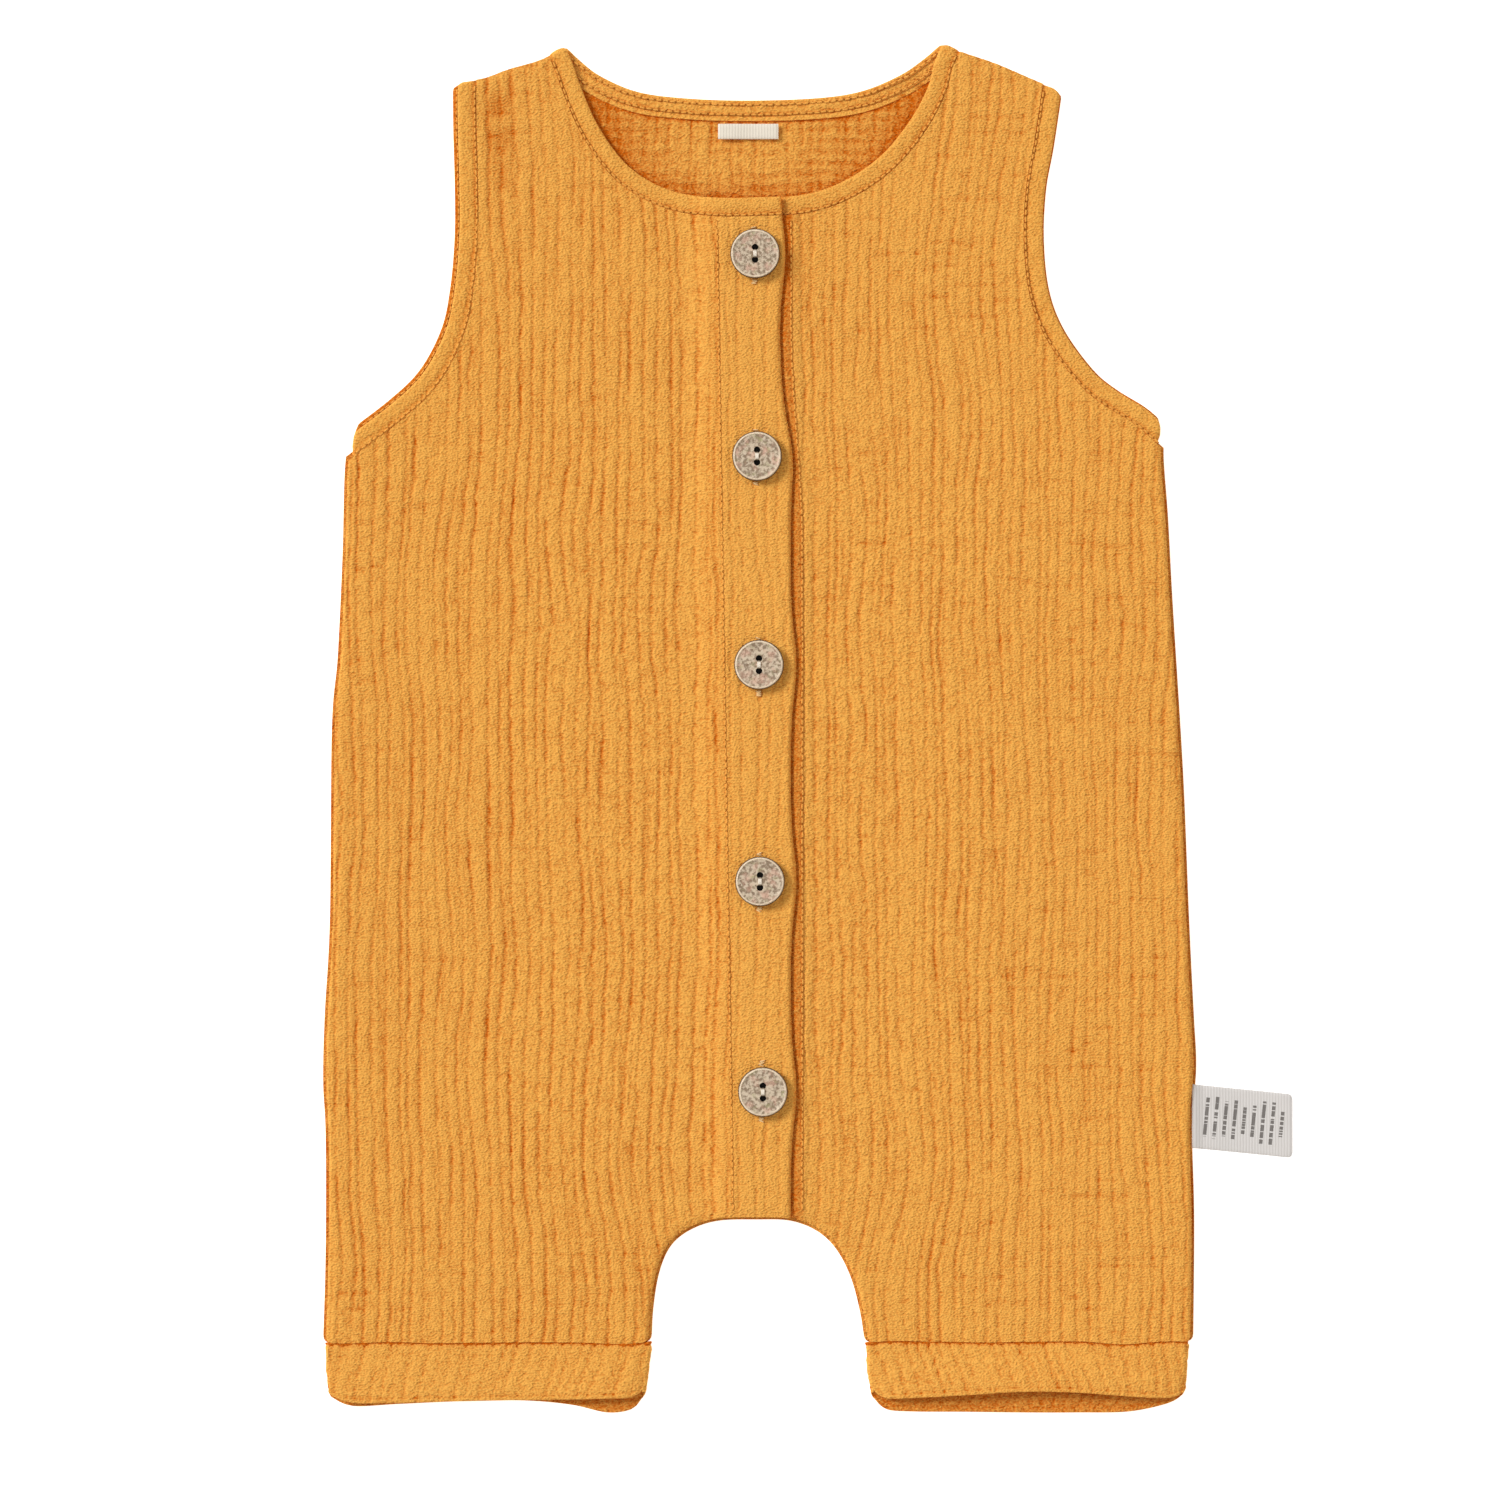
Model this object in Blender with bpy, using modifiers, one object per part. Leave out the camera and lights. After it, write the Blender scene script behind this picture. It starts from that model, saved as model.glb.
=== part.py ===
"""A baby's sleeveless romper in crinkled double gauze, buttoned and laid flat on its back.

X runs from the wearer's right to the wearer's left, Y from the legs to the neck and Z up from
the surface that the romper lies on. The origin is on the centre line, on the underside.
Lines and tables are in millimetres. Every line runs with its cloth on the left hand, so a
shift to the left moves it into the cloth.
"""

from collections import namedtuple
from math import cos, exp, hypot, pi, sin

import bmesh
import bpy
from mathutils import Vector

MM = 0.001

# Driving sizes.
SEAM_GAP = 0.3            # between two pieces that are sewn together
BACK_WALL = 1.2           # the back, pressed flat under the fronts
FRONT_WALL = 1.7          # a front, from its inside to the crest of a crinkle
BAND_WALL = 1.8           # a front at its button band, where it is turned under
FRONT_REST = BACK_WALL + SEAM_GAP
LOFT = 0.6                # air between the back and the fronts at the tummy
LOFT_ACROSS = (110.0, 50.0)         # it fades out between these distances from the middle
LOFT_AT_SEAT = (-180.0, -90.0)      # between these levels at the seat
LOFT_AT_CHEST = (130.0, 40.0)       # and between these at the chest
FRONT_SET_IN = 0.9        # how far the back shows past a front at the side seam
ARMHOLE_SET_IN = {"right": 1.5, "left": 0.5}
BINDING_WIDTH = 5.5
BINDING_WALL = 1.8
BINDING_SECTIONS = 30     # along one layer of an armhole
NECK_SECTIONS = 20        # along one front's part of the neck
BACK_NECK_SECTIONS = 26
BACK_NECK_WIDTH = 6.0
BACK_NECK_RISE = 0.4      # the neck binding stands this much above the back
CUFF_WALL = 1.5
CUFF_STEP = 7.0
HEM_LEVEL = -188.2        # where the body ends and the cuffs start

# How the lines are drawn.
LINE_STEP = 4.0
RUN_ON = 12.0             # how far a line is run on past its ends to meet its neighbour
CORNER = 0.05             # a point nearer a corner than this share of its step is dropped

# The crinkle: upright ribs whose troughs differ in depth.
RIB_PITCH = 3.8
RIB_DEPTH = 0.55
BAND_RIB_DEPTH = 0.2
RIB_WANDER = 0.9
RIB_WAVE = 43.0           # length of the ribs' wandering
RIB_FADE = 31.0           # and of their growing and fading
ROW_PITCH = 22.0
CLOTH_MARGIN = 5.0        # uncut cloth around a pattern piece
CLOTH_HALF_WIDTH = 140.0
CLOTH_PAST_CENTRE = 19.6
INSIDE_STOPS = (112.0, 90.0, 70.0, 50.0, 35.0)  # where the plain inside may bend
SLOPE_STOPS = 10
SLOPE_STOP_PITCH = 2.0
PATTERN_HEIGHTS = (-1.0, 12.0)

# The buttoned front. The right front laps over the left one.
STITCH_TOP = -12.3        # the band's line of stitches, at the neck
STITCH_BOTTOM = -7.2      # and at the crotch
BAND_TOP = 160.0
BAND_BOTTOM = -151.0
UNDERLAP_EDGE = 2.5       # from the stitches to the left front's hidden edge
LAP_SLOPE = 11.0          # the right front climbs onto the left one over this width
LAP_LANDING = 0.5         # and is level this far past its stitches
EDGE_TOP = 7.0            # the right front's free edge, at the neck
EDGE_LOW = 10.4           # and from the chest down
EDGE_LEAN = (125.0, 55.0)           # the levels between which it leans over
EDGE_SWELL = 1.7          # it swells beside each button
SWELL_LENGTH = 13.0
EDGE_POINTS = 55
EDGE_POINT_PITCH = 6.0
LEFT_BAND_MARGIN = 2.0    # the left front's band shows this much past the free edge

BUTTON_DIAMETER = 15.2
BUTTON_THICKNESS = 2.2
BUTTON_HOLE = 1.9
BUTTON_HOLE_SPACING = 4.0
BUTTON_RIM = (2.2, 0.7)   # the rim's inner and outer edge, from the outside
BUTTON_SINK = 0.5         # the middle is this much lower than the rim
BUTTON_DISH = 1.0         # and slopes down over this width
BUTTON_ROUND = 0.8
BUTTON_SIDES = 28
HOLE_SIDES = 12

SIZE_LABEL = (18.5, 4.7)
SIZE_LABEL_CENTRE = (-2.7, 183.0)
CARE_LABEL_LENGTH = 29.4
CARE_LABEL_WIDTH = 20.0
CARE_LABEL_LEVEL = -119.0
CARE_LABEL_TILT = -0.1
CARE_LABEL_ROUND = 2.0
CARE_LABEL_ARC = 4        # steps round each of its outer corners
LABEL_WALL = 1.0

Button = namedtuple("Button", "x y")
BUTTONS = (
    Button(-0.6, 145.3),
    Button(0.0, 83.3),
    Button(0.6, 19.5),
    Button(0.9, -46.8),
    Button(1.8, -111.2),
)

Point = namedtuple("Point", "x y")

# Both fronts' neck edge, from the left shoulder round to the right one.
FRONT_NECK = (
    Point(57.0, 209.8), Point(54.3, 204.0), Point(52.2, 196.2), Point(46.9, 186.4),
    Point(38.0, 175.6), Point(26.4, 167.7), Point(14.4, 163.7), Point(0.0, 162.7),
    Point(-14.0, 162.7), Point(-26.0, 164.8), Point(-35.9, 169.6), Point(-43.0, 176.3),
    Point(-49.4, 186.1), Point(-54.0, 196.8), Point(-56.8, 204.5), Point(-58.9, 209.1),
)
# The back's neck edge, the same way round.
BACK_NECK = (
    Point(56.6, 210.0), Point(50.9, 205.1), Point(43.6, 200.2), Point(31.9, 195.4),
    Point(18.0, 193.3), Point(-4.0, 192.6), Point(-23.6, 193.4), Point(-37.1, 195.4),
    Point(-48.2, 200.2), Point(-54.6, 205.1), Point(-58.9, 209.3),
)
RIGHT_SHOULDER = (
    Point(-58.9, 209.2), Point(-66.0, 205.1), Point(-76.4, 202.0), Point(-83.5, 199.4),
    Point(-93.3, 197.6),
)
LEFT_SHOULDER = (
    Point(93.6, 195.2), Point(84.0, 199.2), Point(73.0, 203.9), Point(61.5, 207.8),
    Point(56.8, 210.0),
)
RIGHT_ARMHOLE = (
    Point(-93.3, 197.6), Point(-93.2, 184.0), Point(-92.7, 165.0), Point(-92.8, 150.0),
    Point(-94.2, 134.5), Point(-96.9, 122.3), Point(-103.4, 110.0), Point(-112.5, 101.0),
    Point(-125.2, 91.3),
)
LEFT_ARMHOLE = (
    Point(125.5, 93.1), Point(119.0, 98.6), Point(110.4, 103.9), Point(103.1, 110.0),
    Point(94.2, 122.3), Point(89.6, 134.5), Point(88.0, 150.0), Point(88.7, 165.2),
    Point(91.0, 178.0), Point(93.6, 195.2),
)
RIGHT_SIDE = (
    Point(-125.2, 91.3), Point(-126.5, 78.0), Point(-127.2, 52.0), Point(-128.6, 22.0),
    Point(-130.4, 0.0), Point(-131.0, -58.0), Point(-132.6, -88.0), Point(-133.1, -108.0),
    Point(-132.3, -125.0), Point(-132.3, -160.0), Point(-133.1, -188.2),
)
LEFT_SIDE = (
    Point(133.8, -188.2), Point(134.1, -150.0), Point(133.5, -122.0), Point(134.7, -104.0),
    Point(134.0, -88.0), Point(132.5, -58.0), Point(131.0, -20.0), Point(129.6, 5.0),
    Point(127.7, 35.0), Point(126.1, 64.0), Point(124.7, 84.0), Point(125.5, 93.1),
)
# The inside of the legs, from the right hem over the crotch to the left hem.
INSEAM = (
    Point(-32.3, -188.2), Point(-31.8, -178.0), Point(-30.0, -167.0), Point(-26.5, -158.8),
    Point(-20.5, -153.8), Point(-12.0, -151.0), Point(0.0, -150.6), Point(10.5, -151.0),
    Point(18.7, -154.3), Point(24.5, -160.0), Point(28.8, -168.5), Point(31.6, -179.0),
    Point(33.0, -188.2),
)

# The cuffs, from the outer side to the inner one. front and back are the levels of their free
# edges, and gape is how far the front of the opening stands up from the back.
Cuff = namedtuple("Cuff", "x front back gape")
RIGHT_CUFF = (
    Cuff(-130.4, -204.4, -205.6, 0.1), Cuff(-124.0, -206.7, -208.2, 0.7),
    Cuff(-110.0, -206.6, -207.6, 1.1), Cuff(-92.0, -206.2, -206.8, 0.9),
    Cuff(-72.0, -205.8, -206.5, 0.8), Cuff(-57.0, -205.6, -207.8, 1.4),
    Cuff(-46.0, -205.3, -210.2, 1.6), Cuff(-38.5, -205.0, -209.2, 1.0),
    Cuff(-35.4, -203.2, -206.0, 0.1),
)
LEFT_CUFF = (
    Cuff(130.2, -203.8, -205.0, 0.1), Cuff(126.0, -205.2, -207.4, 0.8),
    Cuff(114.0, -204.6, -209.9, 2.0), Cuff(98.0, -203.4, -210.2, 2.6),
    Cuff(82.0, -203.1, -210.2, 2.8), Cuff(64.0, -204.2, -210.0, 2.4),
    Cuff(48.0, -205.1, -209.9, 1.6), Cuff(39.6, -205.3, -209.2, 0.8),
    Cuff(36.0, -203.2, -206.0, 0.1),
)


# ---- Lines on the flat ----

def length_of(a, b):
    """The distance between two points on the flat."""
    return hypot(b[0] - a[0], b[1] - a[1])


def along(a, b, share):
    """The point a share of the way from a to b."""
    return Point(a[0] + (b[0] - a[0]) * share, a[1] + (b[1] - a[1]) * share)


def smooth_line(points, step=LINE_STEP):
    """A rounded line through the points, with a point about every step."""
    line = []
    for i in range(len(points) - 1):
        before = points[max(i - 1, 0)]
        start, end = points[i], points[i + 1]
        after = points[min(i + 2, len(points) - 1)]
        pieces = max(1, round(length_of(start, end) / step))
        for k in range(pieces):
            t = k / pieces
            weights = (
                -0.5 * t + t * t - 0.5 * t ** 3,
                1 - 2.5 * t * t + 1.5 * t ** 3,
                0.5 * t + 2 * t * t - 1.5 * t ** 3,
                -0.5 * t * t + 0.5 * t ** 3,
            )
            around = (before, start, end, after)
            x = sum(weight * point[0] for weight, point in zip(weights, around))
            y = sum(weight * point[1] for weight, point in zip(weights, around))
            line.append(Point(x, y))
    line.append(Point(*points[-1]))
    return line


def shifted(line, distance):
    """The line moved to its left hand by a distance."""
    moved = []
    for i, point in enumerate(line):
        before = line[max(i - 1, 0)]
        after = line[min(i + 1, len(line) - 1)]
        run = length_of(before, after)
        across = ((before[1] - after[1]) / run, (after[0] - before[0]) / run)
        moved.append(Point(point[0] + across[0] * distance, point[1] + across[1] * distance))
    return moved


def run_on(line):
    """The line with both its ends run straight on."""
    first = along(line[1], line[0], 1 + RUN_ON / length_of(line[1], line[0]))
    last = along(line[-2], line[-1], 1 + RUN_ON / length_of(line[-2], line[-1]))
    return [first, *line, last]


def crossings(line, cut):
    """Where a line meets a cut, as places counted in the line's own points."""
    places = []
    for i in range(len(line) - 1):
        a, b = line[i], line[i + 1]
        for c, d in zip(cut, cut[1:]):
            turn = (b[0] - a[0]) * (d[1] - c[1]) - (b[1] - a[1]) * (d[0] - c[0])
            if abs(turn) < 1e-9:
                continue
            on_line = ((c[0] - a[0]) * (d[1] - c[1]) - (c[1] - a[1]) * (d[0] - c[0])) / turn
            on_cut = ((c[0] - a[0]) * (b[1] - a[1]) - (c[1] - a[1]) * (b[0] - a[0])) / turn
            if 0 <= on_line <= 1 and 0 <= on_cut <= 1:
                places.append(i + on_line)
    return places


def between(line, start_cut, end_cut):
    """The part of a line from where one neighbour cuts it to where the next one does."""
    line = run_on(line)
    first_end, last_end = 1, len(line) - 2
    start = min(crossings(line, run_on(start_cut)), key=lambda place: abs(place - first_end))
    end = min(crossings(line, run_on(end_cut)), key=lambda place: abs(place - last_end))
    kept = [line[i] for i in range(len(line)) if start + CORNER < i < end - CORNER]
    first = along(line[int(start)], line[int(start) + 1], start % 1)
    last = along(line[int(end)], line[int(end) + 1], end % 1)
    return [first, *kept, last]


def outline(edges):
    """The closed outline of a pattern piece whose edges follow each other."""
    points = []
    for i, edge in enumerate(edges):
        points += between(edge, edges[i - 1], edges[(i + 1) % len(edges)])[:-1]
    return points


def level_line(level, start, end):
    """A straight line at one level."""
    return [Point(start, level), Point(end, level)]


def spaced(line, count):
    """A number of points at even distances along a line."""
    lengths = [0.0]
    for a, b in zip(line, line[1:]):
        lengths.append(lengths[-1] + length_of(a, b))
    points = []
    for k in range(count):
        wanted = lengths[-1] * k / (count - 1)
        i = max(j for j in range(len(line) - 1) if lengths[j] <= wanted + 1e-9)
        share = (wanted - lengths[i]) / (lengths[i + 1] - lengths[i])
        points.append(along(line[i], line[i + 1], share))
    return points


# ---- Heights of the cloth ----

def eased(value, start, end):
    """0 before start, 1 past end and a soft slope from one to the other."""
    t = min(max((value - start) / (end - start), 0.0), 1.0)
    return t * t * (3 - 2 * t)


def front_floor(x, y):
    """The height of a front's inside where it lies on the back."""
    tummy = eased(abs(x), *LOFT_ACROSS) * eased(y, *LOFT_AT_SEAT) * eased(y, *LOFT_AT_CHEST)
    return FRONT_REST + LOFT * tummy


def stitch_place(y):
    """Where the right front's band is stitched down, at a level."""
    return STITCH_TOP + (STITCH_BOTTOM - STITCH_TOP) * (BAND_TOP - y) / (BAND_TOP - BAND_BOTTOM)


def free_edge(y):
    """Where the right front's free edge is, at a level."""
    lean = EDGE_TOP + (EDGE_LOW - EDGE_TOP) * eased(y, *EDGE_LEAN)
    swell = sum(exp(-((y - button.y) / SWELL_LENGTH) ** 2) for button in BUTTONS)
    return lean + EDGE_SWELL * swell


def lap_floor(x, y):
    """The height of the right front's inside, which climbs onto the left front's band."""
    stitch = stitch_place(y)
    climb = eased(x, stitch - LAP_SLOPE, stitch + LAP_LANDING)
    return front_floor(x, y) + (BAND_WALL + SEAM_GAP) * climb


def trough(column, y, in_band):
    """The depth of the crinkle's trough along one column, uneven from rib to rib."""
    own = 0.72 + 0.28 * sin(2.3 * column)
    fading = 0.75 + 0.25 * sin(y / RIB_FADE + 1.7 * column)
    return (BAND_RIB_DEPTH if in_band else RIB_DEPTH) * own * fading


def in_right_band(x, y):
    """Whether a place on the right front is in its button band."""
    return x > stitch_place(y)


def in_left_band(x, y):
    """Whether a place on the left front is in its button band."""
    return x < free_edge(y) + LEFT_BAND_MARGIN


# ---- Meshes ----

def new_object(name, build, collection, material):
    """A mesh object whose faces all point out."""
    build.normal_update()
    bmesh.ops.recalc_face_normals(build, faces=build.faces)
    mesh = bpy.data.meshes.new(name)
    build.to_mesh(mesh)
    build.free()
    piece = bpy.data.objects.new(name, mesh)
    collection.objects.link(piece)
    if material:
        mesh.materials.append(material)
    return piece


def grid(build, rows):
    """Vertices in rows, with a face in each opening between them."""
    made = [[build.verts.new(Vector(point) * MM) for point in row] for row in rows]
    for low, high in zip(made, made[1:]):
        for i in range(len(low) - 1):
            build.faces.new((low[i], low[i + 1], high[i + 1], high[i]))
    return made


def cloth(name, reach, floor, in_band, inside_stops, collection, material):
    """An uncut length of crinkled cloth: ribs on its outside and a plain inside."""
    start, end = reach
    low, high = HEM_LEVEL - CLOTH_MARGIN, FRONT_NECK[0].y + CLOTH_MARGIN
    count = round((high - low) / ROW_PITCH)
    levels = [low + (high - low) * j / count for j in range(count + 1)]
    columns = round((end - start) / RIB_PITCH) * 2
    outside = []
    for y in levels:
        row = []
        for i in range(columns + 1):
            at_end = i in (0, columns)
            sway = 0.0 if at_end else RIB_WANDER * sin(y / RIB_WAVE + 0.33 * i)
            x = start + (end - start) * i / columns + sway
            banded = in_band(x, y)
            depth = trough(i, y, banded) if i % 2 else 0.0
            wall = BAND_WALL if banded else FRONT_WALL
            row.append((x, y, floor(x, y) + wall - depth))
        outside.append(row)
    stops = [start, *inside_stops, end]
    inside = [[(x, y, floor(x, y)) for x in stops] for y in levels]
    build = bmesh.new()
    upper = grid(build, outside)
    lower = grid(build, inside)
    build.faces.new(upper[0] + lower[0][::-1])
    build.faces.new(upper[-1] + lower[-1][::-1])
    build.faces.new([row[0] for row in upper] + [row[0] for row in lower][::-1])
    build.faces.new([row[-1] for row in upper] + [row[-1] for row in lower][::-1])
    return new_object(name, build, collection, material)


def prism(name, points, bottom, top, collection, material=None):
    """An outline drawn up into a flat solid."""
    build = bmesh.new()
    floor = [build.verts.new((x * MM, y * MM, bottom * MM)) for x, y in points]
    face = build.faces.new(floor)
    drawn = bmesh.ops.extrude_face_region(build, geom=[face])
    raised = [item for item in drawn["geom"] if isinstance(item, bmesh.types.BMVert)]
    bmesh.ops.translate(build, verts=raised, vec=(0, 0, (top - bottom) * MM))
    return new_object(name, build, collection, material)


def cut(piece, cutter, operation):
    """Cut a piece with a cutter, which stays in the file as a guide."""
    cutter.hide_render = True
    cutter.display_type = "WIRE"
    modifier = piece.modifiers.new(f"{operation.title()} {cutter.name}", "BOOLEAN")
    modifier.operation = operation
    modifier.solver = "EXACT"
    modifier.object = cutter


# ---- Strips: bindings and cuffs ----

# One cross-section of a strip. The inner side faces the other layer of the garment.
Section = namedtuple("Section", "edge_inner edge_outer seam_outer seam_inner")


def front_section(edge, seam, floor, wall, lift=0.0):
    """A section of a strip on a front. lift raises its free edge."""
    edge_floor = floor(*edge) + lift
    seam_floor = floor(*seam)
    return Section(
        Vector((*edge, edge_floor)), Vector((*edge, edge_floor + wall)),
        Vector((*seam, seam_floor + wall)), Vector((*seam, seam_floor)),
    )


def back_section(edge, seam, wall):
    """A section of a strip on the back, which lies on the surface."""
    return Section(
        Vector((*edge, wall)), Vector((*edge, 0.0)),
        Vector((*seam, 0.0)), Vector((*seam, wall)),
    )


def heading(sections):
    """The direction in which a strip's seam reaches its last section."""
    return (sections[-1].seam_inner - sections[-2].seam_inner).to_2d().normalized()


def fold(front, back, steps=4):
    """The sections where a strip turns down from the end of its front to the end of its back."""
    first, last = front[-1], back[-1]
    outward = (heading(front) + heading(back)).normalized()
    turned = []
    for k in range(1, steps):
        angle = pi * k / steps
        corners = {}
        for line in ("edge", "seam"):
            above = getattr(first, line + "_inner")
            below = getattr(last, line + "_inner")
            axis_z = (above.z + below.z) / 2
            flat = above.lerp(below, min(1.0, 2 * k / steps))
            for face in ("inner", "outer"):
                front_reach = getattr(first, f"{line}_{face}").z - axis_z
                back_reach = axis_z - getattr(last, f"{line}_{face}").z
                reach = front_reach + (back_reach - front_reach) * k / steps
                corners[f"{line}_{face}"] = Vector((
                    flat.x + outward[0] * reach * sin(angle),
                    flat.y + outward[1] * reach * sin(angle),
                    axis_z + reach * cos(angle),
                ))
        turned.append(Section(**corners))
    return turned


def ring(fronts, backs):
    """A closed run of sections over the front, down a fold, back over the back and up."""
    return [*fronts, *fold(fronts, backs[::-1]), *backs, *fold(fronts[::-1], backs)[::-1]]


def strip(name, sections, closed, collection, material):
    """A strip of cloth lofted through its sections."""
    build = bmesh.new()
    rings = [[build.verts.new(corner * MM) for corner in section] for section in sections]
    pairs = list(zip(rings, rings[1:]))
    if closed:
        pairs.append((rings[-1], rings[0]))
    else:
        build.faces.new(rings[0])
        build.faces.new(rings[-1])
    for near, far in pairs:
        for i in range(4):
            j = (i + 1) % 4
            build.faces.new((near[i], near[j], far[j], far[i]))
    return new_object(name, build, collection, material)


def strip_pairs(edge, width, start_cut, end_cut, count):
    """Matching points on a strip's free edge and its seam."""
    free = spaced(between(edge, start_cut, end_cut), count)
    sewn = spaced(between(shifted(edge, width), start_cut, end_cut), count)
    return list(zip(free, sewn))


# ---- The romper's pieces ----

def garment_lines():
    """The garment's edges as rounded lines, by name."""
    tables = {
        "front_neck": FRONT_NECK, "back_neck": BACK_NECK,
        "right_shoulder": RIGHT_SHOULDER, "left_shoulder": LEFT_SHOULDER,
        "right_armhole": RIGHT_ARMHOLE, "left_armhole": LEFT_ARMHOLE,
        "right_side": RIGHT_SIDE, "left_side": LEFT_SIDE, "inseam": INSEAM,
    }
    lines = {name: smooth_line(table) for name, table in tables.items()}
    levels = [BAND_BOTTOM + EDGE_POINT_PITCH * (k - 1) for k in range(EDGE_POINTS)]
    lines["free_edge"] = [Point(free_edge(y), y) for y in levels]
    lines["hidden_edge"] = [Point(stitch_place(y) + UNDERLAP_EDGE, y) for y in reversed(levels)]
    lines["right_hem"] = level_line(HEM_LEVEL, RIGHT_SIDE[-1].x, INSEAM[0].x)
    lines["left_hem"] = level_line(HEM_LEVEL, INSEAM[-1].x, LEFT_SIDE[0].x)
    return lines


def make_back(lines, collection, material):
    """The back: one flat panel from the shoulders to both hems."""
    edges = [
        lines["right_hem"],
        lines["inseam"],
        lines["left_hem"],
        lines["left_side"],
        shifted(lines["left_armhole"], BINDING_WIDTH + SEAM_GAP),
        lines["left_shoulder"],
        shifted(lines["back_neck"], BACK_NECK_WIDTH + SEAM_GAP),
        lines["right_shoulder"],
        shifted(lines["right_armhole"], BINDING_WIDTH + SEAM_GAP),
        lines["right_side"],
    ]
    return prism("back_body", outline(edges), 0.0, BACK_WALL, collection, material)


def make_right_front(lines, collection, cutters, material):
    """The right front, which laps over the left one and carries the buttonholes."""
    slope_start = STITCH_TOP - LAP_SLOPE
    stops = [-stop for stop in INSIDE_STOPS]
    stops += [slope_start + SLOPE_STOP_PITCH * k for k in range(SLOPE_STOPS)]
    reach = (-CLOTH_HALF_WIDTH, CLOTH_PAST_CENTRE)
    piece = cloth("front_right", reach, lap_floor, in_right_band, stops, collection, material)
    set_in = ARMHOLE_SET_IN["right"] + BINDING_WIDTH + SEAM_GAP
    pattern = outline([
        lines["right_hem"],
        shifted(lines["inseam"], FRONT_SET_IN),
        lines["free_edge"],
        shifted(lines["front_neck"], BINDING_WIDTH + SEAM_GAP),
        lines["right_shoulder"],
        shifted(lines["right_armhole"], set_in),
        shifted(lines["right_side"], FRONT_SET_IN),
    ])
    cut(piece, prism("pattern_right_front", pattern, *PATTERN_HEIGHTS, cutters), "INTERSECT")
    return piece


def make_left_front(lines, collection, cutters, material):
    """The left front, which lies under the right one and carries the buttons."""
    reach = (-CLOTH_PAST_CENTRE, CLOTH_HALF_WIDTH)
    stops = INSIDE_STOPS[::-1]
    piece = cloth("front_left", reach, front_floor, in_left_band, stops, collection, material)
    set_in = ARMHOLE_SET_IN["left"] + BINDING_WIDTH + SEAM_GAP
    pattern = outline([
        lines["left_hem"],
        shifted(lines["left_side"], FRONT_SET_IN),
        shifted(lines["left_armhole"], set_in),
        lines["left_shoulder"],
        shifted(lines["front_neck"], BINDING_WIDTH + SEAM_GAP),
        lines["hidden_edge"],
        shifted(lines["inseam"], FRONT_SET_IN),
    ])
    cut(piece, prism("pattern_left_front", pattern, *PATTERN_HEIGHTS, cutters), "INTERSECT")
    return piece


def make_neck_binding(lines, collection, material):
    """One strip round the neck, from the free edge over both shoulders to the hidden edge."""
    right_cut = shifted(lines["right_shoulder"], BINDING_WALL)
    left_cut = shifted(lines["left_shoulder"], BINDING_WALL)
    front_neck, back_neck = lines["front_neck"], lines["back_neck"]
    right_cuts = (lines["free_edge"], right_cut)
    left_cuts = (left_cut, lines["hidden_edge"])
    right = strip_pairs(front_neck, BINDING_WIDTH, *right_cuts, NECK_SECTIONS)
    left = strip_pairs(front_neck, BINDING_WIDTH, *left_cuts, NECK_SECTIONS)
    back = strip_pairs(back_neck, BACK_NECK_WIDTH, left_cut, right_cut, BACK_NECK_SECTIONS)[::-1]
    over = [front_section(*pair, lap_floor, BINDING_WALL) for pair in right]
    behind = []
    for k, pair in enumerate(back):
        rise = BACK_NECK_RISE * eased(sin(pi * k / (len(back) - 1)), 0.35, 0.8)
        behind.append(back_section(*pair, BACK_WALL + rise))
    under = [front_section(*pair, front_floor, BINDING_WALL) for pair in left]
    sections = [
        *over, *fold(over, behind[::-1]),
        *behind, *fold(under[::-1], behind)[::-1],
        *under,
    ]
    return strip("neck_binding", sections, False, collection, material)


def make_armhole_binding(side, lines, collection, material):
    """The strip round one armhole, which turns over at the shoulder and under the arm."""
    armhole = lines[side + "_armhole"]
    shoulder = shifted(lines[side + "_shoulder"], BINDING_WALL)
    flank = shifted(lines[side + "_side"], BINDING_WALL + FRONT_SET_IN)
    cuts = (shoulder, flank) if side == "right" else (flank, shoulder)
    front_edge = shifted(armhole, ARMHOLE_SET_IN[side])
    front = strip_pairs(front_edge, BINDING_WIDTH, *cuts, BINDING_SECTIONS)
    back = strip_pairs(armhole, BINDING_WIDTH, *cuts, BINDING_SECTIONS)
    fronts = [front_section(*pair, front_floor, BINDING_WALL) for pair in front]
    backs = [back_section(*pair, BACK_WALL) for pair in reversed(back)]
    return strip(f"armhole_binding_{side}", ring(fronts, backs), True, collection, material)


def make_cuff(side, table, collection, material):
    """A cuff: a flattened tube of turned cloth below the leg's seam."""
    top = HEM_LEVEL - SEAM_GAP
    fronts, backs = [], []
    lines = {
        column: smooth_line([Point(row.x, getattr(row, column)) for row in table], CUFF_STEP)
        for column in ("front", "back", "gape")
    }
    xs = [point.x for point in lines["back"]]

    def at(column, x):
        """A column's value at a place across the cuff."""
        return next(
            along(a, b, (x - a.x) / (b.x - a.x)).y
            for a, b in zip(lines[column], lines[column][1:])
            if min(a.x, b.x) - 1e-6 <= x <= max(a.x, b.x) + 1e-6
        )

    for x in xs:
        place = Point(x, top)
        lift = at("gape", x)
        fronts.append(front_section(Point(x, at("front", x)), place, front_floor, CUFF_WALL, lift))
        backs.append(back_section(Point(x, at("back", x)), place, BACK_WALL))
    backs.reverse()
    return strip(f"leg_cuff_{side}", ring(fronts, backs), True, collection, material)


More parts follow.
